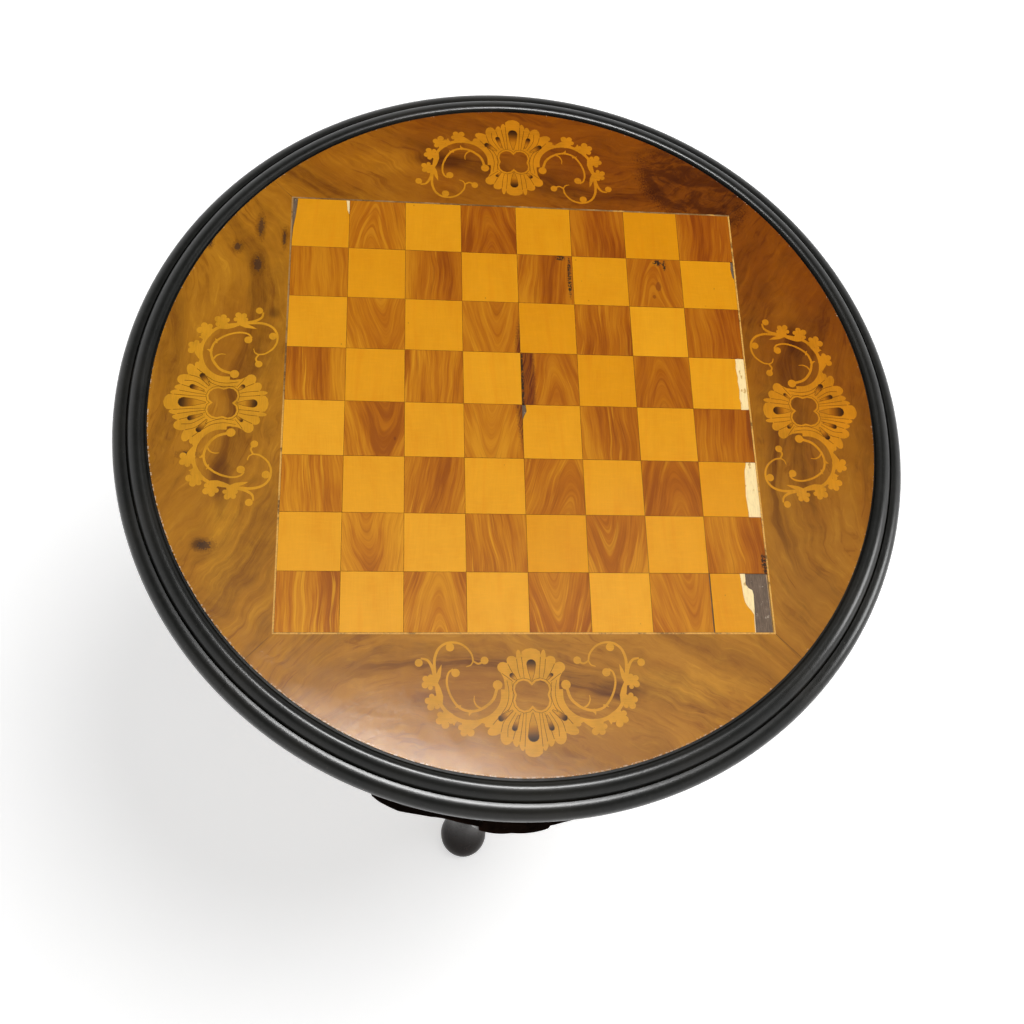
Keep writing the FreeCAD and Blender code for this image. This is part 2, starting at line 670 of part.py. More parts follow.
def build():
    pieces = chess_squares() + core_boards()
    for number, side in enumerate(SIDES):
        turn = QUARTER * number
        inlay = cartouche(side, turn)
        pieces += [stringing(side, turn), inlay, walnut_panel(side, turn, inlay), rim_moulding(side, turn)]
        pieces.append(leg(side, turn))
        blank = doc.getObject(f"leg_blank_{side}")
        pieces += [knee_bracket(side, turn, hand, blank) for hand in (1, -1)]
    for number, corner in enumerate(CORNERS):
        turn = QUARTER * number + QUARTER // 2
        pieces.append(apron(corner, turn))
        pieces += [glue_block(corner, turn, hand) for hand in (1, -1)]
    pieces.append(bearer("bearer_front_back", 0, f"{UNDER_CORE} - bearer_depth / 2"))
    pieces.append(bearer("bearer_left_right", QUARTER, f"{UNDER_BEARER} - bearer_depth / 2"))
    pieces.append(top_screws())
    return pieces


def write(pieces):
    doc.recompute()
    for thing in doc.Objects:
        if "Invalid" in thing.State or "Error" in thing.State:
            raise RuntimeError(f"{thing.Name} failed: {thing.State}")
    os.makedirs("parts", exist_ok=True)
    for piece in pieces:
        if piece.Shape.isNull() or not piece.Shape.isValid():
            raise RuntimeError(f"{piece.Label} has no valid shape")
        piece.Shape.exportStep(f"parts/{piece.Label}.step")
        print(piece.Label, len(piece.Shape.Solids), round(piece.Shape.Volume, 1))


fill_sheet()
write(build())
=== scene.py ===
"""Round games table with an inlaid chessboard: the dressed model and its stage.

Laid out as a Blender add-on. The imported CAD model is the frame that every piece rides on.
Metres, +Z up, the origin on the floor under the middle of the top. The front is -Y.
"""
import math
import random

import bpy
from bpy.props import FloatProperty, FloatVectorProperty, IntProperty, PointerProperty
from mathutils import Matrix, Vector
from mathutils.geometry import delaunay_2d_cdt

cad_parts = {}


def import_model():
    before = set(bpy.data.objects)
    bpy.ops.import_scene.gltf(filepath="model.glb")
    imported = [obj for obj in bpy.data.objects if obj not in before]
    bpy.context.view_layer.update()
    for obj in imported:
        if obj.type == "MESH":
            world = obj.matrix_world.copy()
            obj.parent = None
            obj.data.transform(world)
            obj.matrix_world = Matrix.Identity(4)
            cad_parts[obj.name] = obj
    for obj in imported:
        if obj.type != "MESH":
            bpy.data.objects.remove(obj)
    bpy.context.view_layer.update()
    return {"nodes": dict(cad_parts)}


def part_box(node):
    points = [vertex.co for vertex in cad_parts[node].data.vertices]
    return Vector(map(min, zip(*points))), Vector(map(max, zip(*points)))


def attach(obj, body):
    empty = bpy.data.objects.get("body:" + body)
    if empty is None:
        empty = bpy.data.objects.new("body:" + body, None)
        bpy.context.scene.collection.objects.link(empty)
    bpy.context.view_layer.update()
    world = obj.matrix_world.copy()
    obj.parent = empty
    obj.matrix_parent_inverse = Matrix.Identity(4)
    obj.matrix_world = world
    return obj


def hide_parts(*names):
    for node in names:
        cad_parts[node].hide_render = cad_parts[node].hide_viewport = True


bl_info = {
    "name": "Round Games Table",
    "version": (1, 0, 0),
    "blender": (4, 5, 0),
    "location": "3D Viewport > Sidebar > Games Table",
    "description": "Dresses the round games table with the inlaid chessboard and sets its stage",
    "category": "Object",
}

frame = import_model()
NODES = frame["nodes"]
BODY = "root"

SIDES = ("front", "right", "back", "left")
CORNERS = ("front_right", "back_right", "back_left", "front_left")
QUARTER = math.radians(90)
MM = 0.001

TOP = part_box("light_squares")[1].z
UNDER_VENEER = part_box("light_squares")[0].z
UNDER_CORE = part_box("core_board_3")[0].z
HALF_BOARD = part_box("light_squares")[1].x
HALF_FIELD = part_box("stringing_right")[1].x
VENEER_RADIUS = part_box("core_board_3")[1].x
RIM_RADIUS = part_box("rim_right")[1].x
BOARD_SQUARES = 8
SQUARE = 2 * HALF_BOARD / BOARD_SQUARES
# the board was laid a little behind the middle of the round top
BOARD_OFFSET = (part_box("light_squares")[0].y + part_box("light_squares")[1].y) / 2


# ---- sizes and colours that a user would change ------------------------------------------------

def length(name, description, default, **limits):
    return FloatProperty(name=name, description=description, default=default, min=0, unit="LENGTH", precision=5,
                         subtype="DISTANCE", **limits)


def colour(name, description, default):
    return FloatVectorProperty(name=name, description=description, default=default, min=0, max=1, size=3,
                               subtype="COLOR")


class GamesTableSizes(bpy.types.PropertyGroup):
    square_bevel: length("Square bevel", "Worn edge of each square of the board", 0.00016)
    motif_reach: length("Motif reach", "Middle of the board to the middle of each marquetry motif", 0.2225)
    quirk_width: length("Quirk width", "Flat step between the veneer and the rim", 0.0016)
    quirk_depth: length("Quirk depth", "Drop of that step below the playing surface", 0.0014)
    torus_width: length("Torus width", "Width of the inner round of the rim", 0.0134)
    torus_crest: length("Torus crest", "Highest line of the torus, from its inside", 0.0054)
    torus_rise: length("Torus rise", "Height of the torus above the playing surface", 0.0015)
    torus_fall: length("Torus fall", "Outer foot of the torus below the playing surface", 0.005)
    groove_width: length("Groove width", "Groove between the torus and the bead", 0.0012)
    groove_depth: length("Groove depth", "Groove below the playing surface", 0.0075)
    bead_fall: length("Bead fall", "Widest line of the bead below the playing surface", 0.0135)
    rim_undercut: length("Rim undercut", "Underside of the rim inside its widest line", 0.003)
    rim_steps: IntProperty(name="Rim steps", description="Segments in a quarter of the rim", default=72, min=12)


class GamesTableColours(bpy.types.PropertyGroup):
    satinwood: colour("Satinwood", "Light squares", (0.80, 0.345, 0.012))
    olivewood: colour("Olivewood", "Dark squares", (0.46, 0.140, 0.003))
    walnut: colour("Walnut", "Burr walnut surround", (0.396, 0.153, 0.007))
    inlay: colour("Inlay", "Marquetry motifs", (0.63, 0.278, 0.011))
    boxwood: colour("Boxwood", "Stringing round the board", (0.72, 0.38, 0.08))
    ebonised: colour("Ebonised", "Black rim moulding", (0.0070, 0.0074, 0.0062))
    leg: colour("Leg", "Ebonised walnut of the legs", (0.0070, 0.0042, 0.003))
    bared: colour("Bared wood", "Pale wood where veneer is broken off", (0.93, 0.70, 0.32))
    old_glue: colour("Old glue", "Grey-brown ground in the bared corner", (0.155, 0.105, 0.070))
    pine: colour("Pine", "Core boards and bearers", (0.74, 0.50, 0.25))
    oak: colour("Oak", "Tongues and glue blocks", (0.42, 0.24, 0.10))
    steel: colour("Steel", "Screws", (0.42, 0.41, 0.39))
    floor: colour("Floor", "Floor of the stage", (0.93, 0.93, 0.93))


# ---- materials -----------------------------------------------------------------------------------

class Value:
    """A number, vector or colour that varies over a surface. Arithmetic with it adds math nodes."""

    def __init__(self, finish, socket):
        self.finish = finish
        self.socket = socket

    def __add__(self, other):
        return self.finish.math("ADD", self, other)

    def __sub__(self, other):
        return self.finish.math("SUBTRACT", self, other)

    def __rsub__(self, other):
        return self.finish.math("SUBTRACT", other, self)

    def __mul__(self, other):
        return self.finish.math("MULTIPLY", self, other)

    def __truediv__(self, other):
        return self.finish.math("DIVIDE", self, other)

    def __abs__(self):
        return self.finish.math("ABSOLUTE", self)

    __radd__ = __add__
    __rmul__ = __mul__

    def ranged(self, low, high, at_low=0.0, at_high=1.0, interpolation="LINEAR"):
        """Goes from at_low to at_high while this number goes from low to high."""
        return self.finish.value("ShaderNodeMapRange", "Result", {
            "Value": self, "From Min": low, "From Max": high, "To Min": at_low, "To Max": at_high},
            interpolation_type=interpolation)

    def between(self, low, high):
        """0 below low and 1 above high, with soft ends."""
        return self.ranged(low, high, interpolation="SMOOTHSTEP")


class Finish:
    """A procedural material, put together node by node."""

    def __init__(self, name):
        self.material = bpy.data.materials.new(name)
        self.material.use_nodes = True
        self.tree = self.material.node_tree
        self.tree.nodes.clear()
        self.shader = self.node("ShaderNodeBsdfPrincipled")
        self.output = self.node("ShaderNodeOutputMaterial", {"Surface": self.shader.outputs["BSDF"]})

    def put(self, socket, source):
        if isinstance(source, Value):
            source = source.socket
        if isinstance(source, bpy.types.NodeSocket):
            self.tree.links.new(source, socket)
        elif socket.type == "RGBA":
            socket.default_value = (*source, 1)
        else:
            socket.default_value = source

    def node(self, kind, inputs=(), **settings):
        made = self.tree.nodes.new(kind)
        for key, setting in settings.items():
            setattr(made, key, setting)
        for key, source in dict(inputs).items():
            self.put(made.inputs[key], source)
        return made

    def value(self, kind, output, inputs=(), **settings):
        """One output of a new node."""
        return Value(self, self.node(kind, inputs, **settings).outputs[output])

    def set(self, **inputs):
        """Numbers and colours that are the same all over, and values, by the shader's own names."""
        for name, source in inputs.items():
            self.put(self.shader.inputs[name.replace("_", " ")], source)

    def position(self):
        return self.value("ShaderNodeTexCoord", "Object")

    def attribute(self, name, output="Fac"):
        return self.value("ShaderNodeAttribute", output, attribute_name=name)

    def scaled(self, vector, scale, turn=(0, 0, 0)):
        return self.value("ShaderNodeMapping", "Vector", {"Vector": vector, "Scale": scale, "Rotation": turn})

    def noise(self, vector, scale, detail, roughness=0.55, distortion=0.0):
        """Noise at one scale, or stretched by a scale for each axis."""
        if isinstance(scale, tuple):
            vector, scale = self.scaled(vector, scale), 1
        return self.value("ShaderNodeTexNoise", "Fac", {
            "Vector": vector, "Scale": scale, "Detail": detail, "Roughness": roughness, "Distortion": distortion})

    def cells(self, vector):
        return self.value("ShaderNodeTexVoronoi", "Distance", {"Vector": vector, "Scale": 1})

    def math(self, operation, first, second=0.0, clamp=False):
        return self.value("ShaderNodeMath", "Value", {0: first, 1: second}, operation=operation, use_clamp=clamp)

    def mixed(self, factor, first, second, blend="MIX"):
        # sockets 6, 7 and 2 are the colours of a Mix node
        return self.value("ShaderNodeMix", 2, {"Factor": factor, 6: first, 7: second}, data_type="RGBA",
                          blend_type=blend)

    def tinted(self, base, tint):
        """The base colour times the tint, channel by channel."""
        return self.mixed(1.0, base, tint, "MULTIPLY")

    def stained(self, factor, base, tint):
        """The base colour, tinted as far as the factor says."""
        return self.mixed(factor, base, self.tinted(base, tint))

    def ramp(self, factor, stops):
        made = self.node("ShaderNodeValToRGB", {"Fac": factor})
        elements = made.color_ramp.elements
        while len(elements) < len(stops):
            elements.new(0.5)
        for element, (place, tone) in zip(elements, stops):
            element.position = place
            element.color = (*tone, 1)
        return Value(self, made.outputs["Color"])

    def bump(self, height, distance, strength=1.0, under=None):
        inputs = {"Height": height, "Distance": distance, "Strength": strength}
        if under is not None:
            inputs["Normal"] = under
        return self.value("ShaderNodeBump", "Normal", inputs)

    def split(self, vector):
        return [Value(self, output) for output in self.node("ShaderNodeSeparateXYZ", {"Vector": vector}).outputs]

    def joined(self, x=0.0, y=0.0, z=0.0):
        return self.value("ShaderNodeCombineXYZ", "Vector", {"X": x, "Y": y, "Z": z})

    def distance(self, vector):
        return self.value("ShaderNodeVectorMath", "Value", {0: vector}, operation="LENGTH")

    def spot(self, centre, radii, ragged=0.5, turn=0.0):
        """A ragged mark on the playing surface: 1 inside and 0 outside."""
        offset = self.value("ShaderNodeMapping", "Vector", {
            "Vector": self.position(), "Location": (centre[0], centre[1] + BOARD_OFFSET, 0),
            "Rotation": (0, 0, turn), "Scale": (*radii, 1)}, vector_type="TEXTURE")
        flat = self.value("ShaderNodeVectorMath", "Vector", {0: offset, 1: (1, 1, 0)}, operation="MULTIPLY")
        wander = self.noise(self.position(), 700, 4)
        return (self.distance(flat) + (wander - 0.5) * (2 * ragged)).between(1.15, 0.8)


def shade(tone, red, green=None, blue=None):
    """A colour made lighter or darker by one factor, or by one factor for each channel."""
    factors = (red, red, red) if green is None else (red, green, blue)
    return tuple(min(channel * factor, 1) for channel, factor in zip(tone, factors))


def polish(finish, under=None, roughness=0.42, coat=0.12):
    """French polish over a veneer, with the slight waves of old wood."""
    place = finish.position()
    waves = finish.noise(place, (16, 16, 16), 2)
    scratches = finish.noise(finish.scaled(place, (60, 900, 60), (0, 0, 0.6)), 1, 5, 0.7)
    dust = finish.noise(place, 160, 5, 0.7)
    normal = finish.bump(waves, 0.0007, 0.35, under)
    finish.set(Roughness=dust.ranged(0.3, 0.75, roughness - 0.07, roughness + 0.13),
               Normal=finish.bump(scratches, 0.00004, 0.5, normal), Coat_Weight=coat, Coat_Roughness=0.12,
               Coat_Normal=normal, Specular_IOR_Level=0.07)


def age_and_shade_towards_back_right(finish, across=0.75, back=0.85):
    """How far a place is towards the back right, where the whole top is darker: partly with age, partly with painted
    shade where the light falls off.
    """
    x, y, _ = finish.split(finish.position())
    return x * across + y * back


def satinwood(tone):
    """Golden veneer with fine fibres. Each square keeps a tone of its own."""
    finish = Finish("satinwood")
    grain = finish.attribute("grain", "Vector")
    place = finish.position()
    seed = finish.split(grain)[2]
    fibres = finish.noise(grain, (1300, 60, 1), 4, 0.65)
    ripple = finish.noise(grain, (90, 700, 1), 2, 0.5, 0.6)
    cloud = finish.noise(grain, (60, 30, 1), 3)
    streaks = finish.noise(grain, (190, 12, 1), 3).between(0.54, 0.70)
    specks = finish.cells(finish.scaled(place, (110, 75, 1))).between(0.070, 0.03)
    chosen = finish.noise(place, 26, 1).between(0.52, 0.6)
    own = finish.noise(finish.joined(z=seed * 3.0), 1, 0).between(0.3, 0.7)
    wood = finish.ramp(cloud * 0.55 + fibres * 0.45, [
        (0.30, shade(tone, 0.95, 0.87, 0.6)), (0.50, tone), (0.70, shade(tone, 1.06))])
    wood = finish.mixed(ripple.between(0.45, 0.70) * 0.16, wood, shade(tone, 1.2))
    wood = finish.mixed(streaks * 0.22, wood, shade(tone, 0.96, 0.74, 0.3))
    wood = finish.mixed(specks * chosen * 0.6, wood, (0.26, 0.10, 0.012))
    # light squares darker towards the back right: partly age, partly painted shade
    wood = finish.stained(age_and_shade_towards_back_right(finish, 0.45, 1.0).ranged(-0.18, 0.24), wood, (0.84, 0.775, 0.22))
    wood = finish.tinted(wood, finish.mixed(own, (0.95, 0.90, 0.55), (1.05, 1.09, 1.5)))
    finish.set(Base_Color=finish.mixed(finish.attribute("shade"), wood, (0.10, 0.035, 0.008)))
    polish(finish, finish.bump(fibres, 0.00005, 0.4))
    return finish


# Marks on the dark squares: place in metres from the middle of the board, and half sizes.
BLACK_MARKS = (((0.0418, 0.1135), (0.0016, 0.0190)), ((0.0352, 0.1315), (0.0040, 0.0022)),
               ((0.1145, 0.1300), (0.0034, 0.0028)), ((0.1200, 0.1280), (0.0014, 0.0044)),
               ((0.0010, 0.0220), (0.0009, 0.0300)), ((0.1764, -0.1255), (0.0022, 0.0080)))
RED_MARKS = (((0.1140, 0.1080), (0.0024, 0.0042)), ((0.1100, 0.0985), (0.0014, 0.0018)),
             ((-0.0960, -0.0300), (0.0010, 0.0016)), ((0.1766, -0.0160), (0.0020, 0.0190)))
RED_STAIN = ((0.0030, 0.018), (0.0080, 0.060))


def olivewood(tone):
    """Streaked heartwood. The attribute "figure" turns straight streaks into flat-sawn arches."""
    finish = Finish("olivewood")
    grain = finish.attribute("grain", "Vector")
    x, y, seed = finish.split(grain)
    wander = (finish.noise(grain, (30, 20, 1), 1) - 0.5) * 0.012
    leaning = finish.noise(finish.joined(z=seed * 7.0), 1, 0) - 0.5
    straight = x + wander + leaning * (0.045 + y * 0.5)
    rounded = finish.math("SQRT", straight * straight + 0.000016)
    arch = rounded * 0.80 + y * 0.20
    figure = finish.attribute("figure")
    across = straight * (1.0 - figure) + arch * figure

    def lines(spacing, along, offset, detail, roughness):
        return finish.noise(finish.joined(across * spacing, y * along, seed + offset), 1, detail, roughness)

    smooth = lines(48.0, 9.0, 0.0, 1, 0.5)
    medium = lines(270.0, 16.0, 11.0, 3, 0.6)
    fine = lines(1250.0, 36.0, 23.0, 3, 0.65)
    streaky = lines(42.0, 6.0, 57.0, 1, 0.5).between(0.46, 0.60)
    gold = lines(420.0, 15.0, 31.0, 3, 0.55).between(0.54, 0.66) * streaky
    dark = lines(430.0, 13.0, 71.0, 3, 0.5).between(0.58, 0.72)
    wood = finish.ramp(smooth * 0.42 + (medium * 0.36 + fine * 0.22), [
        (0.38, shade(tone, 0.62, 0.47, 0.4)), (0.46, shade(tone, 0.87, 0.78, 0.7)),
        (0.53, shade(tone, 1.06, 1.12, 1.2)), (0.62, shade(tone, 1.28, 1.58, 2.2))])
    wood = finish.mixed(gold * 0.62, wood, shade(tone, 1.42, 1.85, 3.0))
    wood = finish.mixed(dark * 0.45, wood, shade(tone, 0.55, 0.40, 0.3))
    # each square's own tone, and darker towards the back right: partly age, partly painted shade
    square_tone_and_shade = age_and_shade_towards_back_right(finish, 0.6, 0.8) + (finish.noise(finish.joined(z=seed * 3.0), 1, 0) - 0.5) * 0.35
    wood = finish.tinted(wood, finish.mixed(square_tone_and_shade.ranged(-0.22, 0.24), (1.24, 1.42, 1.6), (0.74, 0.58, 0.4)))
    streaked = 0.45 + fine.between(0.40, 0.60) * 0.5
    wood = finish.mixed(finish.spot(*RED_STAIN, 0.25) * streaked, wood, (0.105, 0.016, 0.004))
    flaked = finish.noise(finish.position(), 620, 2).between(0.42, 0.50)
    for mark in BLACK_MARKS:
        wood = finish.mixed(finish.spot(*mark, 0.7) * flaked * 0.95, wood, (0.026, 0.018, 0.008))
    for mark in RED_MARKS:
        wood = finish.mixed(finish.spot(*mark, 0.4) * 0.6, wood, (0.17, 0.035, 0.004))
    finish.set(Base_Color=finish.mixed(finish.attribute("shade"), wood, (0.06, 0.018, 0.004)))
    polish(finish, finish.bump(fine, 0.00003, 0.5))
    return finish


# Knots of the walnut, as the marks above.
KNOTS = (((-0.2020, 0.1500), (0.0022, 0.0080)), ((-0.2030, 0.1155), (0.0028, 0.0060)),
         ((-0.2190, 0.1310), (0.0024, 0.0034)), ((-0.2400, 0.1345), (0.0016, 0.0040)),
         ((-0.1835, 0.1400), (0.0012, 0.0060)), ((-0.2450, -0.0460), (0.0045, 0.0022)),
         ((-0.2290, -0.1150), (0.0045, 0.0030)), ((-0.2035, -0.2010), (0.0035, 0.0016)))
BURNT_PATCH = ((0.148, 0.204), (0.050, 0.034))
# Radii between which the edge of the walnut turns to pale chips and a painted highlight.
CHIP_AND_GLINT_RADII = (0.2757, 0.2764)


def burr_walnut(tone):
    """Four leaves off one burr: in each, the grain sweeps in an arch past the motif, under a dark band."""
    finish = Finish("burr_walnut")
    place = finish.position()
    u, v, seed = finish.split(finish.attribute("grain", "Vector"))
    from_peak = u + 0.085
    left = finish.math("MINIMUM", from_peak, 0.0)
    sweep = from_peak * from_peak * 1.4 + left * left * 4.6
    swirl = finish.noise(finish.joined(u * 10.0, v * 16.0, seed), 1, 3, 0.55, 0.6)
    across = v + 0.027 - sweep + (swirl - 0.5) * 0.045

    def drawn_out(start, along, spacing, *noise):
        """Noise drawn out along the grain."""
        return finish.noise(finish.joined(u * along, across * spacing, start), 1, *noise)

    def region(centre_u, centre_v, radius_u, radius_v, ragged=0.9):
        """A soft patch, in the panel's own frame: 1 inside and 0 outside."""
        reach = finish.distance(finish.joined((u - centre_u) / radius_u, (v - centre_v) / radius_v))
        return (reach + (swirl - 0.5) * ragged).between(1.25, 0.45)

    lines = drawn_out(seed, 8.0, 170.0, 4, 0.62, 0.3)
    bands = drawn_out(seed, 5.0, 42.0, 2, 0.5)
    pores = drawn_out(seed, 160.0, 1900.0, 3, 0.65)
    flames = drawn_out(seed + 5.0, 30.0, 150.0, 4, 0.62, 1.2)
    curl = finish.noise(place, (40, 40, 1), 4, 0.62, 1.6)
    flaming = finish.noise(place, 14, 2).between(0.38, 0.62)
    wood = finish.ramp(bands * 0.42 + lines * 0.24 + (curl * 0.20 + pores * 0.14), [
        (0.36, shade(tone, 0.58, 0.50, 0.5)), (0.44, shade(tone, 0.84)), (0.50, tone),
        (0.56, shade(tone, 1.10, 1.13, 1.2)), (0.66, shade(tone, 1.28, 1.40, 1.8))])
    wood = finish.stained(flames.between(0.52, 0.68) * (0.22 + flaming * 0.5), wood, (0.60, 0.48, 0.40))
    wood = finish.stained(flames.between(0.46, 0.32) * 0.55, wood, (1.26, 1.38, 1.45))
    # shade under the arch, a light streak beside it and a smoky patch in that
    wood = finish.stained(region(-0.050, -0.004, 0.050, 0.018) * 0.8, wood, (0.78, 0.70, 0.66))
    wood = finish.stained(region(0.105, -0.006, 0.060, 0.012), wood, (1.18, 1.26, 1.3))
    wood = finish.stained(region(0.062, -0.002, 0.022, 0.008, 1.4), wood, (0.52, 0.44, 0.42))
    # the dark band along the arch
    inside = abs(across) / (0.0065 + abs(from_peak) * 0.05)
    ends = abs(u + 0.03).between(0.14, 0.06)
    band = inside.between(1.5, 0.1) * ends * (0.45 + lines.between(0.40, 0.60))
    wood = finish.stained(band * 0.62, wood, (0.40, 0.30, 0.26))
    # darker in the outer part of each panel, along the grain: painted shade towards the rim
    outer = (v + curl * 0.05).between(0.045, 0.07) * lines.between(0.44, 0.60)
    wood = finish.stained(outer * 0.35, wood, (0.55, 0.47, 0.40))
    # redder and darker towards the back and the right: partly age, partly painted shade where the light falls off
    uneven_age_and_shade = age_and_shade_towards_back_right(finish, 0.55, 0.95) + (finish.noise(place, 11, 3, 0.6, 1.0) - 0.5) * 0.20
    wood = finish.stained(uneven_age_and_shade.between(-0.02, 0.26), wood, (0.60, 0.37, 0.07))
    x, y, _ = finish.split(place)
    wood = finish.stained(x.between(0.13, 0.22), wood, (0.82, 0.80, 0.9))
    mottled = finish.noise(finish.scaled(place, (38, 60, 1), (0, 0, -0.6)), 1, 4, 0.65, 0.8).between(0.62, 0.42)
    burnt = finish.spot(*BURNT_PATCH, 0.35, -0.7) * (0.35 + mottled * 0.65)
    wood = finish.stained(burnt, wood, (0.36, 0.30, 0.34))
    pins = finish.cells(finish.scaled(place, (17, 17, 1))).between(0.12, 0.03)
    here = finish.noise(place, 6, 1).between(0.52, 0.62)
    wood = finish.mixed(pins * here * 0.6, wood, (0.045, 0.014, 0.003))
    for centre, radii in KNOTS:
        halo = finish.spot(centre, (radii[0] * 2.0, radii[1] * 1.8), 0.7)
        wood = finish.stained(halo * 0.5, wood, (0.46, 0.40, 0.45))
        wood = finish.mixed(finish.spot(centre, radii, 1.3) * 0.75, wood, (0.045, 0.022, 0.012))
    from_mitre = abs(abs(x) - abs(y - BOARD_OFFSET))
    mitre = from_mitre.between(0.0006, 0.0001) * finish.noise(place, 60, 2).between(0.25, 0.55)
    wood = finish.mixed(mitre * 0.6, wood, (0.06, 0.024, 0.008))
    # pale chips along the edge of the walnut, most at the front left: partly worn chips, partly a painted highlight
    # where the worn edge catches the light
    front_left = (x * 0.6 + y).between(-0.10, -0.22)
    chips_and_glint = (finish.noise(place, 420, 4, 0.7) + front_left * 0.10).between(0.60, 0.66)
    rind = (finish.distance(finish.joined(x, y)) + finish.noise(place, 130, 3) * 0.0016).between(*CHIP_AND_GLINT_RADII)
    wood = finish.mixed(rind * chips_and_glint * 0.85, wood, (0.66, 0.50, 0.34))
    finish.set(Base_Color=finish.mixed(finish.attribute("shade"), wood, (0.05, 0.02, 0.006)))
    polish(finish, finish.bump(pores, 0.00005, 0.5), 0.40, 0.31)
    return finish


def inlay_maple(tone):
    """The marquetry. The attribute "shade" holds the sand shading and the engraved lines."""
    finish = Finish("inlay_maple")
    grain = finish.attribute("grain", "Vector")
    fibres = finish.noise(grain, (90, 1500, 1), 4, 0.6)
    cloud = finish.noise(grain, (60, 60, 1), 3)
    wood = finish.ramp(cloud * 0.6 + fibres * 0.4, [
        (0.30, shade(tone, 0.76)), (0.50, tone), (0.72, shade(tone, 1.16))])
    # inlay darker towards the back right: partly age, partly painted shade
    wood = finish.stained(age_and_shade_towards_back_right(finish).between(-0.02, 0.24), wood, (0.86, 0.68, 0.3))
    scorched = finish.ramp(finish.attribute("shade"), [
        (0.0, (1, 1, 1)), (0.35, (0.60, 0.50, 0.40)), (0.75, (0.16, 0.13, 0.16)), (1.0, (0.04, 0.035, 0.05))])
    finish.set(Base_Color=finish.tinted(wood, scorched))
    polish(finish, finish.bump(fibres, 0.00005, 0.4), 0.40, 0.31)
    return finish


def boxwood(tone):
    """Light stringing, grimy in places and lost under dirt at the back left."""
    finish = Finish("boxwood")
    place = finish.position()
    x, y, _ = finish.split(place)
    fibres = finish.noise(place, 700, 3, 0.6)
    dirt = finish.noise(place, (70, 70, 1), 4, 0.7)
    wood = finish.ramp(fibres, [(0.3, shade(tone, 0.75)), (0.55, tone), (0.75, shade(tone, 1.2))])
    worn = finish.math("ADD", dirt.between(0.52, 0.68), (y - x).between(0.16, 0.2) * 0.8, clamp=True)
    far_side = y.between(0.1775 + BOARD_OFFSET, 0.1785 + BOARD_OFFSET)
    worn = finish.math("MAXIMUM", worn, far_side * dirt.between(0.30, 0.45))
    grimy = finish.mixed(dirt.between(0.40, 0.60), (0.20, 0.13, 0.075), (0.10, 0.045, 0.018))
    finish.set(Base_Color=finish.mixed(worn * 0.85, wood, grimy))
    polish(finish)
    return finish


def black_polish(name, tone, worn, gloss, coat):
    """Ebonised wood: a black stain under shellac, thinner and browner where hands and feet rub it."""
    finish = Finish(name)
    place = finish.position()
    x, y, z = finish.split(place)
    grain = finish.noise(place, (260, 260, 60), 5, 0.65)
    patches = finish.noise(place, 12, 3, 0.5)
    specks = finish.noise(place, 520, 3, 0.7).between(0.68, 0.76)
    edges = finish.value("ShaderNodeNewGeometry", "Pointiness")
    rubbed = edges.between(0.51, 0.56) * patches.between(0.42, 0.62)
    wood = finish.ramp(grain, [(0.35, shade(tone, 0.7)), (0.55, tone), (0.75, shade(tone, 1.7))])
    wood = finish.mixed(patches.between(0.42, 0.75) * 0.45, wood, worn)
    wood = finish.mixed(rubbed * 0.6, wood, shade(worn, 1.8))
    dull = finish.noise(place, 55, 4, 0.65)
    waves = finish.bump(finish.noise(place, 45, 2), 0.0003, 0.3)
    crackle = finish.bump(finish.noise(place, 700, 3, 0.6), 0.00004, 0.5, waves)
    # no polish is left in the step beside the veneer, on the feet and under the overhang of the rim
    in_step = finish.distance(finish.joined(x, y)).between(VENEER_RADIUS + 0.0040, VENEER_RADIUS + 0.0026)
    sunk = in_step * z.between(TOP - 0.010, TOP - 0.009)
    kept = finish.math("MAXIMUM", z.between(0.08, 0.20), z.between(TOP - 0.020, TOP - 0.015))
    dusty = z.between(0.42, 0.55) * z.between(TOP - 0.025, TOP - 0.030)
    handled = finish.math("SUBTRACT", kept, dusty, clamp=True)
    finish.set(Base_Color=finish.mixed(specks * 0.4, wood, (0.16, 0.15, 0.13)),
               Roughness=dull.ranged(0.3, 0.7, gloss - 0.05, gloss + 0.10),
               Normal=finish.bump(grain, 0.00006, 0.5, crackle), Coat_Normal=crackle,
               Coat_Roughness=gloss - 0.10, Coat_Weight=coat * handled * (1.0 - sunk),
               Specular_IOR_Level=(1.0 - dusty) * 0.10)
    return finish


def plain_wood(name, tone, turn):
    """Unpolished sawn wood for the parts out of sight, with growth rings along the boards."""
    finish = Finish(name)
    place = finish.scaled(finish.position(), (1, 1, 1), turn)
    x, y, z = finish.split(place)
    across = y + (finish.noise(place, (3, 22, 22), 2) - 0.5) * 0.05
    rings = finish.noise(finish.joined(x * 2.0, across * 190.0, z * 120.0), 1, 3, 0.6)
    fibres = finish.noise(place, (60, 1400, 1400), 3, 0.6)
    stain = finish.noise(place, 7, 4, 0.6)
    wood = finish.ramp(rings * 0.7 + fibres * 0.3, [
        (0.32, shade(tone, 0.62)), (0.48, shade(tone, 0.92)), (0.66, shade(tone, 1.12))])
    finish.set(Base_Color=finish.mixed(stain.between(0.45, 0.75) * 0.35, wood, shade(tone, 0.42)),
               Roughness=fibres.ranged(0, 1, 0.54, 0.78), Normal=finish.bump(fibres, 0.0003, 0.5),
               Specular_IOR_Level=0.3)
    return finish


def old_steel(tone):
    finish = Finish("old_steel")
    tarnish = finish.noise(finish.position(), 520, 4, 0.65)
    finish.set(Base_Color=finish.ramp(tarnish, [(0.35, (0.16, 0.10, 0.07)), (0.5, shade(tone, 0.8)), (0.7, tone)]),
               Metallic=0.9, Normal=finish.bump(tarnish, 0.0002, 0.4), Roughness=tarnish.ranged(0, 1, 0.55, 0.3))
    return finish


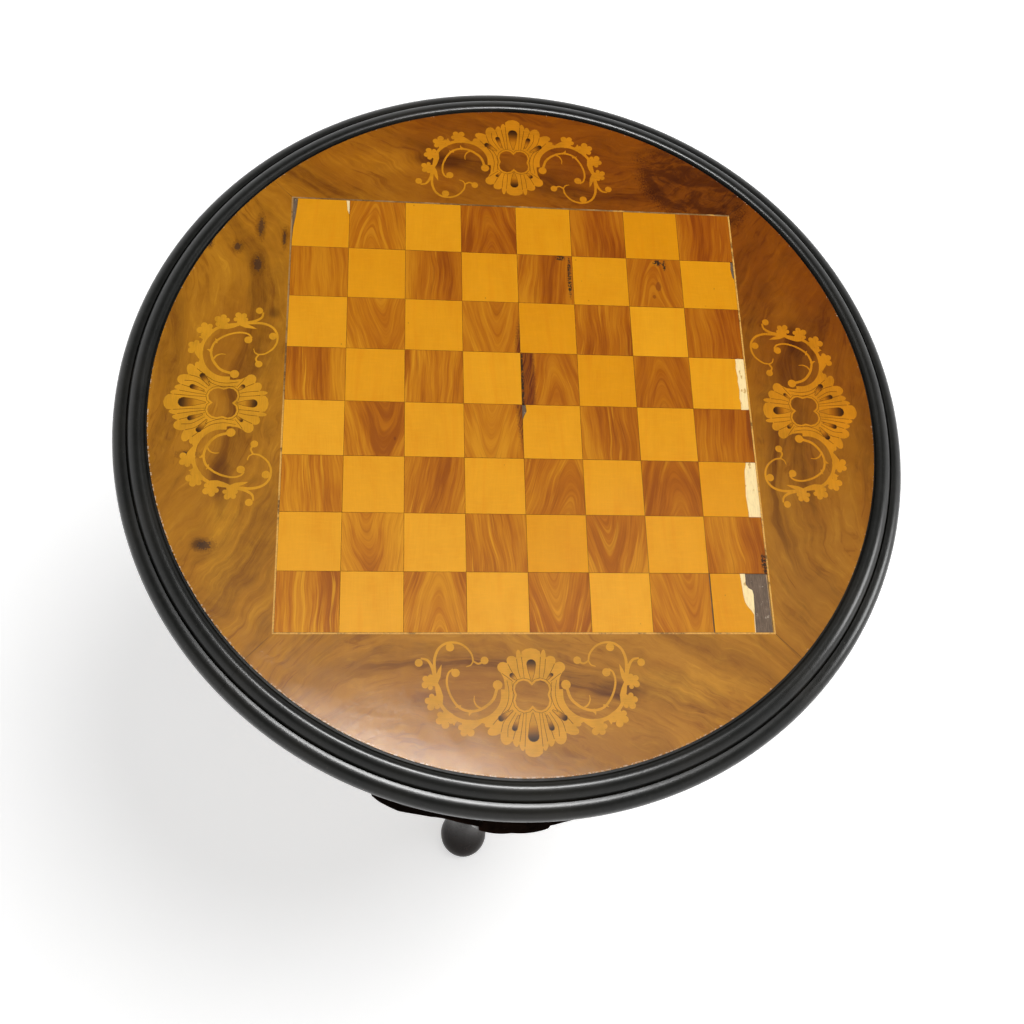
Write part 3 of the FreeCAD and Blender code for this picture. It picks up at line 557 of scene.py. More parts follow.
def bared_wood(tone):
    """Fresh pale wood under a break, with the golden veneer still stuck here and there."""
    finish = Finish("bared_wood")
    place = finish.position()
    fibres = finish.noise(place, (1100, 150, 1), 4, 0.65)
    stuck = finish.noise(place, (300, 120, 1), 3, 0.6).between(0.615, 0.65)
    wood = finish.ramp(fibres, [(0.35, shade(tone, 0.86)), (0.5, tone), (0.7, shade(tone, 1.07))])
    finish.set(Base_Color=finish.mixed(stuck * 0.85, wood, (0.55, 0.29, 0.05)), Roughness=0.5,
               Normal=finish.bump(fibres, 0.0003, 0.6))
    return finish


def old_glue(tone):
    """The grey-brown ground left where a piece of veneer has come off."""
    finish = Finish("old_glue")
    place = finish.position()
    streaks = finish.noise(place, (900, 160, 1), 4, 0.65)
    worn = finish.noise(place, 260, 4, 0.7).between(0.60, 0.72)
    ground = finish.ramp(streaks, [(0.35, shade(tone, 0.72)), (0.55, tone), (0.72, shade(tone, 1.3))])
    finish.set(Base_Color=finish.mixed(worn, ground, (0.42, 0.34, 0.26)), Roughness=0.6,
               Specular_IOR_Level=0.12, Normal=finish.bump(streaks, 0.0003, 0.6))
    return finish


def paint(thing, finish):
    """Puts the finish in every material slot of a piece or CAD node."""
    if not thing.material_slots:
        thing.data.materials.append(finish.material)
    for slot in thing.material_slots:
        slot.material = finish.material


# ---- meshes --------------------------------------------------------------------------------------

def new_piece(name, points, faces, finish, replaced=(), smooth_angle=None):
    """A mesh piece that rides on the frame and stands for the CAD nodes that it replaces."""
    mesh = bpy.data.meshes.new(name)
    mesh.from_pydata(points, [], faces)
    mesh.validate()
    mesh.update()
    piece = bpy.data.objects.new(name, mesh)
    bpy.context.scene.collection.objects.link(piece)
    if smooth_angle is not None:
        mesh.polygons.foreach_set("use_smooth", [True] * len(mesh.polygons))
        mesh.set_sharp_from_angle(angle=smooth_angle)
    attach(piece, BODY)
    if replaced:
        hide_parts(*replaced)
    paint(piece, finish)
    return mesh


def spread(mesh, name, kind, domain, values):
    """A named attribute over the points or the face corners of a mesh."""
    vectors = kind == "FLOAT_VECTOR"
    flat = [number for vector in values for number in vector] if vectors else values
    mesh.attributes.new(name, kind, domain).data.foreach_set("vector" if vectors else "value", flat)


def walls(first, count):
    """Faces between a ring of points and the ring that comes after it."""
    return [[first + side, first + (side + 1) % count, first + count + (side + 1) % count, first + count + side]
            for side in range(count)]


# ---- the board -------------------------------------------------------------------------------------

# Broken edges of squares: column, row and side -> points up that edge, in shares of a square.
BROKEN_EDGES = {
    (7, 0, "right"): [(0.687, 0.00), (0.692, 0.16), (0.70, 0.30), (0.662, 0.37), (0.598, 0.45), (0.567, 0.52),
                      (0.551, 0.64), (0.544, 0.76), (0.537, 0.88), (0.527, 1.00)],
    (7, 2, "right"): [(0.79, 0.00), (0.79, 0.10), (0.785, 0.22), (0.775, 0.38), (0.785, 0.54), (0.79, 0.70),
                      (0.80, 0.85), (0.83, 0.95), (0.835, 1.00)],
    (7, 4, "right"): [(0.86, 0.00), (0.865, 0.14), (0.85, 0.22), (0.865, 0.38), (0.85, 0.55), (0.86, 0.62),
                      (0.84, 0.80), (0.85, 0.90), (0.845, 1.00)],
    (7, 6, "right"): [(1.00, 0.62), (0.965, 0.68), (0.945, 0.84), (0.955, 1.00)],
    (0, 7, "right"): [(1.00, 0.70), (0.965, 0.80), (0.945, 1.00)],
    (0, 7, "left"): [(0.00, 0.10), (0.02, 0.42), (0.05, 0.62), (0.07, 0.82), (0.08, 1.00)],
    (4, 3, "left"): [(0.00, 0.72), (0.03, 0.80), (0.07, 0.88), (0.055, 1.00)],
}
# The corner square: pale wood is bared from its broken veneer to the left edge of the grey ground, which ends just
# short of the stringing.
CORNER = (BOARD_SQUARES - 1, 0)
GREY_EDGE = [(0.70, 0.00), (0.705, 0.16), (0.71, 0.30), (0.717, 0.40), (0.722, 0.52), (0.727, 0.64), (0.713, 0.716),
             (0.647, 0.76), (0.61, 0.82), (0.614, 0.925), (0.615, 1.00)]
GREY_END = [(0.985, 0.0), (0.975, 1.0)]
PALE_GROUNDS = [(7, 2, "right"), (7, 4, "right"), (0, 7, "right")]
GREY_GROUNDS = [(7, 6, "right"), (0, 7, "left"), (4, 3, "left")]
# How far the grounds lie below the playing surface.
PALE_DROP = 0.0004
GREY_DROP = 0.0007
# Gap along the left of the corner square, which has shifted, in shares of a square.
GAP = 0.016
# Dark squares cut across the growth rings, and the way that their arches point.
FIGURED = {(1, 7): 1, (3, 7): 1, (1, 5): -1, (3, 5): -1, (6, 6): 1, (4, 4): 1, (6, 4): 1, (3, 3): -1, (1, 3): -1,
           (6, 2): 1, (4, 2): 1, (5, 1): -1, (1, 1): -1, (2, 0): 1, (4, 0): -1, (6, 0): -1}
# How far squares differ: the part of the veneer that each is cut from, the lean and shift of its grain, its level.
MOST_SEED = 90
MOST_SWAY = 0.09
MOST_SHIFT = 0.007
MOST_DROP = 0.00006
EDGE_DIRT = 0.75


def on_board(column, row, share_x, share_y):
    """A place in the board's own frame from a square and shares of its sides."""
    return Vector(((column + share_x) * SQUARE - HALF_BOARD, (row + share_y) * SQUARE - HALF_BOARD))


def square_edge(column, row, side):
    """One upright edge of a square from its near corner to its far one."""
    straight = 1.0 if side == "right" else GAP if (column, row) == CORNER else 0.0
    edge = BROKEN_EDGES.get((column, row, side), [(straight, 1.0)])
    if edge[0][1] > 0:
        edge = [(straight, 0.0)] + edge
    return [on_board(column, row, *place) for place in edge]


def inset(outline, margin):
    """The outline moved inwards, each corner along its own mitre."""
    moved = []
    for number, corner in enumerate(outline):
        before = (corner - outline[number - 1]).normalized()
        after = (outline[(number + 1) % len(outline)] - corner).normalized()
        inwards = Vector((-before.y - after.y, before.x + after.x))
        share = max(1 + before.dot(after), 0.5)
        moved.append(corner + inwards * (margin / share))
    return moved


def board_squares(tone, name, finish, bevel, draw):
    """Half of the squares, as one piece of separate tiles with worn edges."""
    points, faces, grain, figure, dirt = [], [], [], [], []
    squares = [(column, row) for column in range(BOARD_SQUARES) for row in range(BOARD_SQUARES)
               if (column + row) % 2 == tone]
    for square in squares:
        outline = square_edge(*square, "right") + square_edge(*square, "left")[::-1]
        count = len(outline)
        first = len(points)
        middle = on_board(*square, 0.5, 0.5)
        arched = FIGURED.get(square, 0)
        seed = draw.uniform(0, MOST_SEED)
        sway = draw.uniform(-MOST_SWAY, MOST_SWAY)
        shift = draw.uniform(-MOST_SHIFT, MOST_SHIFT)
        upwards = arched or draw.choice((-1, 1))
        top = TOP - draw.uniform(0, MOST_DROP)
        for ring_of, level in ((outline, UNDER_VENEER), (outline, top - bevel), (inset(outline, bevel), top)):
            for corner in ring_of:
                points.append((corner.x, corner.y + BOARD_OFFSET, level))
                local = corner - middle
                grain.append((local.x + shift + sway * local.y, upwards * local.y, seed))
                figure.append(abs(arched))
        faces.append(list(range(first, first + count))[::-1])
        faces += walls(first, count) + walls(first + count, count)
        faces.append(list(range(first + 2 * count, first + 3 * count)))
        dirt += [0] + [EDGE_DIRT] * 2 * count + [0]
    mesh = new_piece(name, points, faces, finish, [name.replace("board_", "")])
    spread(mesh, "grain", "FLOAT_VECTOR", "POINT", grain)
    spread(mesh, "figure", "FLOAT", "POINT", figure)
    spread(mesh, "shade", "FLOAT", "CORNER",
           [dirt[polygon.index] for polygon in mesh.polygons for _ in polygon.loop_indices])


def bared_ground(name, outlines, drop, finish):
    """Flat grounds, a little below the playing surface, where veneer has come off."""
    points, faces = [], []
    for outline in outlines:
        first, count = len(points), len(outline)
        points += [(corner.x, corner.y + BOARD_OFFSET, level) for level in (UNDER_VENEER, TOP - drop)
                   for corner in outline]
        faces += [list(range(first, first + count))[::-1], list(range(first + count, first + 2 * count))]
        faces += walls(first, count)
    new_piece(name, points, faces, finish)


def lost_strip(column, row, side):
    """What a square lacks between its broken edge and where its straight edge was."""
    broken = BROKEN_EDGES[column, row, side]
    straight = 1.0 if side == "right" else 0.0
    strip = broken + [(straight, 1.0)]
    if broken[0][0] != straight:
        strip.append((straight, 0.0))
    outline = [on_board(column, row, *place) for place in strip]
    return outline[::-1] if side == "right" else outline


def bared_grounds(pale_finish, grey_finish):
    """Pale wood and grey ground under the broken squares, and the dark gap beside the shifted one."""
    def in_corner(places):
        return [on_board(*CORNER, *place) for place in places]

    pale = [lost_strip(*place) for place in PALE_GROUNDS]
    pale.append(in_corner(GREY_EDGE + BROKEN_EDGES[(*CORNER, "right")][::-1]))
    grey = [lost_strip(*place) for place in GREY_GROUNDS]
    grey += [in_corner(GREY_END + GREY_EDGE[::-1]), in_corner([(0.0, 0.0), (GAP, 0.0), (GAP, 1.0), (0.0, 1.0)])]
    bared_ground("bared_pale_wood", pale, PALE_DROP, pale_finish)
    bared_ground("old_glue_patch", grey, GREY_DROP, grey_finish)


# ---- the marquetry -----------------------------------------------------------------------------------
# Drawn in millimetres from the middle of a motif: first sideways, then outwards to the rim.
# A chain alternates notches (two numbers) and leaf tips (place and half breadth).

SHELL_HALF = [
    (6.9, -27.9), (9.2, -32.2, 1.3), (10.4, -26.4), (15.8, -27.2, 2.0), (16.9, -22.6), (23.4, -21.6, 3.0),
    (21.4, -15.6), (19.3, -1.0, 6.5), (25.4, 12.9), (33.2, 19.3, 2.6), (29.6, 22.0), (30.6, 27.2, 2.6),
    (22.6, 26.2), (20.6, 33.6, 2.8), (14.6, 31.2), (12.4, 35.4, 1.2), (10.2, 33.0), (8.4, 38.0, 1.2), (6.2, 36.2),
]
SHELL_TOP = (0.0, -33.2, 6.5)
SHELL_FOOT = (0.0, 42.6, 6.5)
OPENING_HALF = [(0.0, -6.6), (9.0, -9.4, 5.0), (10.7, -0.2), (8.8, 9.6, 5.0), (0.0, 7.2)]
# sand-shaded eyes: dark end, fading end, half width
EYES = [((0.0, -25.0), (0.0, -10.5), 3.1), ((0.0, 32.0), (0.0, 12.5), 3.7),
        ((-23.6, 17.0), (-14.0, 10.6), 1.9), ((23.6, 17.0), (14.0, 10.6), 1.9),
        ((-14.8, -15.0), (-10.6, -10.6), 1.5), ((14.8, -15.0), (10.6, -10.6), 1.0),
        ((-13.4, 24.4), (-9.8, 14.0), 1.7), ((13.4, 24.4), (9.8, 14.0), 1.7)]
# engraved lines on the right half: points along each
LINES = [
    [(5.2, -11.5), (5.9, -19.0), (6.7, -27.0)], [(8.0, -12.2), (9.4, -18.0), (10.2, -25.6)],
    [(11.0, -12.0), (14.0, -17.0), (16.4, -22.0)], [(13.2, -9.5), (17.0, -12.6), (20.6, -15.2)],
    [(14.0, -9.0), (13.2, -2.0), (14.2, 5.0), (17.4, 11.5)], [(17.4, -10.5), (16.2, -2.0), (17.6, 6.5), (22.0, 13.5)],
    [(16.0, 9.5), (22.0, 13.8), (27.8, 20.2)], [(13.4, 10.8), (20.0, 18.0), (22.4, 25.4)],
    [(11.6, 12.0), (17.0, 21.0), (17.8, 28.6)], [(8.2, 12.4), (11.6, 22.0), (14.2, 30.4)],
    [(6.4, 12.4), (7.8, 22.0), (9.6, 32.0)], [(4.6, 12.2), (5.4, 24.0), (6.2, 35.4)],
]
# stems of the left scroll: points, then widths at the two ends
STEMS = [
    ([(-20.0, -4.0), (-20.4, 3.3), (-23.8, 10.2), (-30.6, 15.8), (-40.0, 18.4), (-49.2, 17.4), (-57.0, 13.2),
      (-62.6, 7.2), (-65.2, -0.6), (-66.4, -9.2), (-67.5, -18.0), (-67.4, -25.8), (-64.8, -32.6), (-59.6, -36.6),
      (-53.0, -37.3), (-46.6, -34.8), (-41.8, -29.2), (-40.6, -23.8)], 3.4, 1.2),
    ([(-40.6, -24.0), (-42.4, -21.2), (-45.6, -20.1)], 1.2, 0.6),
    ([(-40.6, -24.0), (-37.0, -22.2), (-33.6, -23.8)], 1.3, 1.5),
    ([(-24.4, -5.0), (-26.8, 2.2), (-31.2, 6.8), (-37.0, 10.0), (-43.6, 10.9), (-50.2, 8.6), (-54.9, 3.2),
      (-58.0, -3.6), (-59.1, -10.2), (-57.8, -15.8), (-54.6, -18.4)], 2.1, 1.3),
    ([(-35.4, 9.4), (-38.8, 7.0), (-40.4, 3.6), (-40.2, 0.2)], 1.5, 0.5),
    ([(-67.2, -12.0), (-69.0, -19.4), (-72.4, -24.8), (-77.0, -26.0)], 2.6, 1.3),
    ([(-49.6, 8.0), (-51.8, 7.6), (-53.4, 8.6)], 2.6, 0.3), ([(-42.0, 10.4), (-43.6, 12.6), (-44.0, 14.2)], 2.6, 0.3),
    ([(-37.4, 18.0), (-40.6, 21.4), (-41.6, 22.6)], 4.4, 0.3),
    ([(-53.0, 15.4), (-54.4, 19.0), (-54.2, 20.8)], 3.6, 0.3),
]
# pointed leaves inside the left scroll: root, tip and breadth
BLADES = [((-66.4, -8.6), (-62.6, -21.8), 3.4), ((-63.2, 5.4), (-65.0, -8.6), 4.4), ((-21.4, 12.6), (-16.8, 0.4), 3.6)]
# round ends of the stems: place and radius
DOTS = [(-23.9, -7.2, 3.4), (-53.0, -15.8, 3.0), (-78.4, -22.9, 2.8), (-56.7, -33.9, 3.0), (-32.7, -24.5, 2.8)]
# lobed leaves outside the left scroll: root, turn in degrees from straight outwards, size
LEAVES = [((-46.2, 18.6), -4, 1.04), ((-58.8, 12.4), 32, 1.08), ((-65.2, 2.4), 64, 1.0), ((-67.6, -9.6), 92, 0.94),
          ((-32.4, 16.6), -20, 0.5)]
# one such leaf: its lobes, with place and radius, and its stalk
LOBES = [(0.2, 3.4, 3.1), (-3.6, 3.0, 1.9), (-2.0, 6.6, 2.3), (2.6, 6.8, 2.5), (4.4, 2.8, 1.8)]
STALK = [(-3.0, -1.6), (3.4, -1.6), (3.0, 3.0), (-2.6, 3.0)]
LINE_WIDTH = 0.34
# how far a motif was let in to one side of the middle of its panel
SLIPS = {"left": 4.0}
# how dark an engraved line is, and how dark sand shading is at the two ends of an eye
LINE_SHADE = 0.62
DARKEST, FAINTEST = 1.0, 0.12
# triangles of the panel share a point where two are nearer than this
SAME_POINT = 0.0005


def chain_outline(chain, steps=6):
    """A closed outline from notches and leaf tips: each leaf is one rounded curve through its tip."""
    outline = []
    for number, here in enumerate(chain):
        if len(here) == 2:
            outline.append(Vector(here))
            continue
        start = Vector(chain[number - 1][:2])
        end = Vector(chain[(number + 1) % len(chain)][:2])
        across = (end - start).normalized() * here[2] * 4 / 3
        reach = (Vector(here[:2]) * 8 - start - end) / 6
        first, second = reach - across, reach + across
        for step in range(1, steps):
            share = step / steps
            rest = 1 - share
            outline.append(start * rest ** 3 + first * (3 * rest * rest * share)
                           + second * (3 * rest * share * share) + end * share ** 3)
    return outline


def mirrored_chain(chain):
    return [(-item[0], *item[1:]) for item in chain[::-1]]


def smooth_line(points, steps):
    """A line through the points, rounded between them."""
    knots = [Vector(point) for point in points]
    knots = [knots[0] * 2 - knots[1]] + knots + [knots[-1] * 2 - knots[-2]]
    line = []
    for before, start, end, after in zip(knots, knots[1:], knots[2:], knots[3:]):
        for step in range(steps):
            share = step / steps
            line.append(((start * 2) + (end - before) * share
                         + (before * 2 - start * 5 + end * 4 - after) * share ** 2
                         + (start * 3 - before - end * 3 + after) * share ** 3) / 2)
    return line + [knots[-2]]


def ribbon(points, start_width, end_width, steps=5):
    """The outline of a tapering stem."""
    line = smooth_line(points, steps)
    left, right = [], []
    for number, here in enumerate(line):
        along = (line[min(number + 1, len(line) - 1)] - line[max(number - 1, 0)]).normalized()
        share = number / (len(line) - 1)
        half = (start_width + (end_width - start_width) * share) / 2
        sideways = Vector((-along.y, along.x)) * half
        left.append(here + sideways)
        right.append(here - sideways)
    return left + right[::-1]


def ring(x, y, radius, steps=14):
    return [Vector((x + radius * math.cos(math.tau * step / steps), y + radius * math.sin(math.tau * step / steps)))
            for step in range(steps)]


def eye_outline(dark, faint, half_width, steps=7):
    """A teardrop: round at its dark end, narrow at the other."""
    dark, faint = Vector(dark), Vector(faint)
    along = (faint - dark).normalized()
    sideways = Vector((-along.y, along.x))
    middle = dark + along * half_width
    round_end = [middle + (sideways * math.cos(turn) - along * math.sin(turn)) * half_width
                 for turn in (math.pi * step / steps for step in range(steps + 1))]
    waist = middle + (faint - middle) * 0.55
    half_waist, half_tip = sideways * half_width * 0.62, sideways * 0.3
    return round_end + [waist - half_waist, faint - half_tip, faint + half_tip, waist + half_waist]


def mirrored(outline):
    return [Vector((-point.x, point.y)) for point in outline]


def lobed_leaf(root, turn, size):
    """The outlines of a cloud-shaped leaf that grows away from its stem."""
    turning = Matrix.Rotation(math.radians(turn), 2)
    return [[Vector(root) + turning @ Vector(point) * size for point in outline]
            for outline in [STALK] + [ring(*lobe) for lobe in LOBES]]


def blade(root, tip, breadth):
    """A pointed leaf, broadest near its root."""
    root, tip = Vector(root), Vector(tip)
    along = tip - root
    sideways = Vector((-along.y, along.x)).normalized() * breadth / 2
    # shares of the length and of half the breadth, up one side and down the other
    return [root + along * share + sideways * side for share, side in (
        (0, -0.6), (0.35, -1), (0.7, -0.7), (1, 0), (0.7, 0.6), (0.35, 1), (0, 0.6))]


def border(outline, margin):
    """A thin engraved line round an outline, as one closed band."""
    outer, inner = inset(outline, -margin - LINE_WIDTH), inset(outline, -margin)
    return outer + outer[:1] + inner[:1] + inner[::-1]


def motif_shapes():
    """The outlines of one motif: its wood, its opening, its eyes and its engraved lines."""
    wood = [chain_outline(SHELL_HALF + [SHELL_FOOT] + mirrored_chain(SHELL_HALF) + [SHELL_TOP])]
    for outline in ([ribbon(*stem) for stem in STEMS] + [blade(*leaf) for leaf in BLADES] + [ring(*dot) for dot in DOTS]
                    + [outline for leaf in LEAVES for outline in lobed_leaf(*leaf)]):
        wood += [outline, mirrored(outline)]
    opening = chain_outline(OPENING_HALF + mirrored_chain(OPENING_HALF[1:-1]))
    eyes = [(eye_outline(*eye), Vector(eye[0]), Vector(eye[1])) for eye in EYES]
    lines = [border(opening, 1.5)] + [border(eye[0], 0) for eye in eyes]
    for points in LINES:
        line = ribbon(points, LINE_WIDTH, LINE_WIDTH * 1.3, 4)
        lines += [line, mirrored(line)]
    return wood, opening, eyes, lines


class Outline:
    """A closed outline and its box, to tell whether it goes round a point."""

    def __init__(self, points):
        self.points = points
        self.low = Vector((min(point.x for point in points), min(point.y for point in points)))
        self.high = Vector((max(point.x for point in points), max(point.y for point in points)))

    def holds(self, point):
        if not (self.low.x <= point.x <= self.high.x and self.low.y <= point.y <= self.high.y):
            return False
        inside = False
        for start, end in zip(self.points, self.points[1:] + self.points[:1]):
            if (start.y > point.y) != (end.y > point.y):
                if point.x < (end.x - start.x) * (point.y - start.y) / (end.y - start.y) + start.x:
                    inside = not inside
        return inside


def panel_outline(reach, number, steps):
    """One side's mitred panel, in millimetres from the middle of its motif."""
    inner = HALF_FIELD / MM
    slip = SLIPS.get(SIDES[number], 0)
    radius = VENEER_RADIUS / MM
    middle = Matrix.Rotation(-number * QUARTER, 2) @ Vector((0, -BOARD_OFFSET / MM))
    rounded = [Vector((radius * math.sin(turn) + middle.x - slip, radius * math.cos(turn) - middle.y - reach / MM))
               for turn in (QUARTER / 2 - QUARTER * step / steps for step in range(steps + 1))]
    return rounded + [Vector((-inner - slip, inner - reach / MM)), Vector((inner - slip, inner - reach / MM))]


def tessellate_panel(reach, number, steps):
    """The panel cut along every line of its motif: triangles of walnut and of inlay, and what shades each one."""
    wood, opening, eyes, lines = motif_shapes()
    panel = panel_outline(reach, number, steps)
    points, edges = [], []
    for loop in [panel, opening] + wood + [eye[0] for eye in eyes] + lines:
        first = len(points)
        points += loop
        edges += [(first + place, first + (place + 1) % len(loop)) for place in range(len(loop))]
    placed, _, triangles, *_ = delaunay_2d_cdt(points, edges, [], 0, SAME_POINT)
    panel, opening = Outline(panel), Outline(opening)
    wood = [Outline(loop) for loop in wood]
    lines = [Outline(loop) for loop in lines]
    eyes = [(Outline(loop), (dark, faint)) for loop, dark, faint in eyes]
    walnut, inlay = [], []
    for triangle in triangles:
        middle = sum((placed[corner] for corner in triangle), Vector((0, 0))) / 3
        if not panel.holds(middle):
            continue
        if opening.holds(middle) or not any(loop.holds(middle) for loop in wood):
            walnut.append((triangle, None))
            continue
        shading = "line" if any(loop.holds(middle) for loop in lines) else None
        for loop, ends in eyes:
            if loop.holds(middle):
                shading = ends
        inlay.append((triangle, shading))
    return placed, walnut, inlay


def scorch(shading, point):
    """How dark the sand shading or an engraved line is at a point."""
    if shading is None:
        return 0.0
    if shading == "line":
        return LINE_SHADE
    dark, faint = shading
    along = faint - dark
    share = (point - dark).dot(along) / along.length_squared
    return min(max(1.05 - 1.5 * share, FAINTEST), DARKEST)


def veneer_piece(name, placed, triangles, number, reach, replaced, finish, seed):
    """Flat triangles made into a sheet of veneer on one side of the table."""
    used = sorted({corner for triangle, _ in triangles for corner in triangle})
    index = {corner: place for place, corner in enumerate(used)}
    turn = Matrix.Rotation(number * QUARTER, 2)
    offset = Vector((0, BOARD_OFFSET))
    slip = SLIPS.get(SIDES[number], 0)
    flat = [turn @ Vector(((placed[corner].x + slip) * MM, -(reach + placed[corner].y * MM))) + offset
            for corner in used]
    points = [(place.x, place.y, level) for level in (TOP, UNDER_VENEER) for place in flat]
    under = len(used)
    top = [[index[corner] for corner in triangle][::-1] for triangle, _ in triangles]
    shades = [scorch(shading, placed[used[corner]]) for face, (_, shading) in zip(top, triangles) for corner in face]
    edges = [edge for face in top for edge in zip(face, face[1:] + face[:1])]
    inner = set(edges)
    faces = top + [[corner + under for corner in face[::-1]] for face in top]
    faces += [[start, start + under, end + under, end] for start, end in edges if (end, start) not in inner]
    shades += [0.0] * (sum(len(face) for face in faces) - len(shades))
    mesh = new_piece(name, points, faces, finish, replaced)
    grain = [(placed[corner].x * MM, placed[corner].y * MM, seed) for corner in used] * 2
    spread(mesh, "grain", "FLOAT_VECTOR", "POINT", grain)
    spread(mesh, "shade", "FLOAT", "CORNER", shades)


# ---- the rim ---------------------------------------------------------------------------------------

# Half the gap between two lengths of the moulding, and the angle from which an edge of it is sharp.
HALF_JOINT = 0.00008
SHARP = math.radians(32)


def arc(start, end, fullness, steps):
    """Points on an arc that swells outwards between two points; its radius is fullness times its chord."""
    start, end = Vector(start), Vector(end)
    chord = end - start
    radius = fullness * chord.length
    outwards = Vector((-chord.y, chord.x)).normalized()
    centre = (start + end) / 2 - outwards * math.sqrt(radius ** 2 - chord.length_squared / 4)
    first = math.atan2(start.y - centre.y, start.x - centre.x)
    last = math.atan2(end.y - centre.y, end.x - centre.x)
    turn = (last - first + math.pi) % math.tau - math.pi
    return [centre + Vector((math.cos(first + turn * step / steps), math.sin(first + turn * step / steps))) * radius
            for step in range(steps + 1)]


def rim_profile(sizes):
    """Radius and height along the moulding, from its inside foot up and over to its outside foot."""
    step = VENEER_RADIUS + sizes.quirk_width
    torus_out = step + sizes.torus_width
    bead_in = torus_out + sizes.groove_width
    crest = (step + sizes.torus_crest, TOP + sizes.torus_rise)
    widest = (RIM_RADIUS, TOP - sizes.bead_fall)
    profile = [Vector((VENEER_RADIUS, UNDER_CORE)), Vector((VENEER_RADIUS, TOP - sizes.quirk_depth))]
    profile += arc((step, TOP - sizes.quirk_depth), crest, fullness=0.78, steps=7)
    profile += arc(crest, (torus_out, TOP - sizes.torus_fall), fullness=0.95, steps=9)[1:]
    profile.append(Vector((torus_out + sizes.groove_width / 2, TOP - sizes.groove_depth)))
    profile += arc((bead_in, TOP - sizes.torus_fall), widest, fullness=0.72, steps=12)
    profile += arc(widest, (RIM_RADIUS - sizes.rim_undercut, UNDER_CORE), fullness=0.75, steps=6)[1:]
    return profile


def rim_length(number, sizes, finish):
    """A quarter of the moulding, turned about the middle and butted on the mitre lines."""
    profile = rim_profile(sizes)
    count = len(profile)
    steps = sizes.rim_steps
    joint = HALF_JOINT / RIM_RADIUS
    start = number * QUARTER - QUARTER * 1.5 + joint
    sweep = QUARTER - 2 * joint
    points = []
    for step in range(steps + 1):
        turn = start + sweep * step / steps
        points += [(place.x * math.cos(turn), place.x * math.sin(turn), place.y) for place in profile]
    faces = [list(range(count)), list(range(steps * count, (steps + 1) * count))[::-1]]
    for here in range(0, steps * count, count):
        there = here + count
        for edge in range(count):
            after = (edge + 1) % count
            faces.append([here + edge, there + edge, there + after, here + after])
    side = SIDES[number]
    new_piece(f"rim_moulding_{side}", points, faces, finish, [f"rim_{side}"], SHARP)


# ---- operators ---------------------------------------------------------------------------------------

class GAMES_TABLE_OT_board(bpy.types.Operator):
    """Lay the sixty-four squares of the board, the stringing and the bared corner"""
    bl_idname = "games_table.board"
    bl_label = "Chessboard"

    def execute(self, context):
        sizes, colours = context.scene.games_table_sizes, context.scene.games_table_colours
        draw = random.Random(64)
        board_squares(1, "board_light_squares", satinwood(colours.satinwood), sizes.square_bevel, draw)
        board_squares(0, "board_dark_squares", olivewood(colours.olivewood), sizes.square_bevel, draw)
        bared_grounds(bared_wood(colours.bared), old_glue(colours.old_glue))
        line = boxwood(colours.boxwood)
        for side in SIDES:
            paint(NODES[f"stringing_{side}"], line)
        return {"FINISHED"}


class GAMES_TABLE_OT_surround(bpy.types.Operator):
    """Cut the four walnut panels and let a marquetry motif into each"""
    bl_idname = "games_table.surround"
    bl_label = "Walnut and marquetry"

    def execute(self, context):
        sizes, colours = context.scene.games_table_sizes, context.scene.games_table_colours
        walnut_finish, inlay_finish = burr_walnut(colours.walnut), inlay_maple(colours.inlay)
        reach = sizes.motif_reach
        for number, side in enumerate(SIDES):
            placed, walnut, inlay = tessellate_panel(reach, number, sizes.rim_steps)
            # each panel shows a figure of its own
            seed = 11.0 + 7.3 * number
            veneer_piece(f"surround_{side}", placed, walnut, number, reach,
                         [f"walnut_panel_{side}"], walnut_finish, seed)
            veneer_piece(f"marquetry_{side}", placed, inlay, number, reach,
                         [f"cartouche_{side}"], inlay_finish, seed)
        return {"FINISHED"}


class GAMES_TABLE_OT_rim(bpy.types.Operator):
    """Run the ebonised moulding round the top in four lengths"""
    bl_idname = "games_table.rim"
    bl_label = "Rim moulding"

    def execute(self, context):
        sizes, colours = context.scene.games_table_sizes, context.scene.games_table_colours
        finish = black_polish("ebonised_rim", colours.ebonised, worn=(0.024, 0.021, 0.016), gloss=0.36, coat=0.55)
        for number in range(len(SIDES)):
            rim_length(number, sizes, finish)
        return {"FINISHED"}


class GAMES_TABLE_OT_legs(bpy.types.Operator):
    """Polish the cabriole legs and their knee brackets"""
    bl_idname = "games_table.legs"
    bl_label = "Legs and brackets"

    def execute(self, context):
        colours = context.scene.games_table_colours
        finish = black_polish("ebonised_walnut", colours.leg, worn=(0.017, 0.0078, 0.0046), gloss=0.22, coat=0.45)
        for side in SIDES:
            for name in (f"leg_{side}", f"knee_bracket_{side}_right", f"knee_bracket_{side}_left"):
                paint(NODES[name], finish)
        return {"FINISHED"}


class GAMES_TABLE_OT_apron(bpy.types.Operator):
    """Polish the four shaped aprons"""
    bl_idname = "games_table.apron"
    bl_label = "Aprons"

    def execute(self, context):
        tone = shade(context.scene.games_table_colours.leg, 1.1)
        finish = black_polish("apron_walnut", tone, worn=(0.017, 0.0080, 0.0048), gloss=0.26, coat=0.45)
        for corner in CORNERS:
            paint(NODES[f"apron_{corner}"], finish)
        return {"FINISHED"}


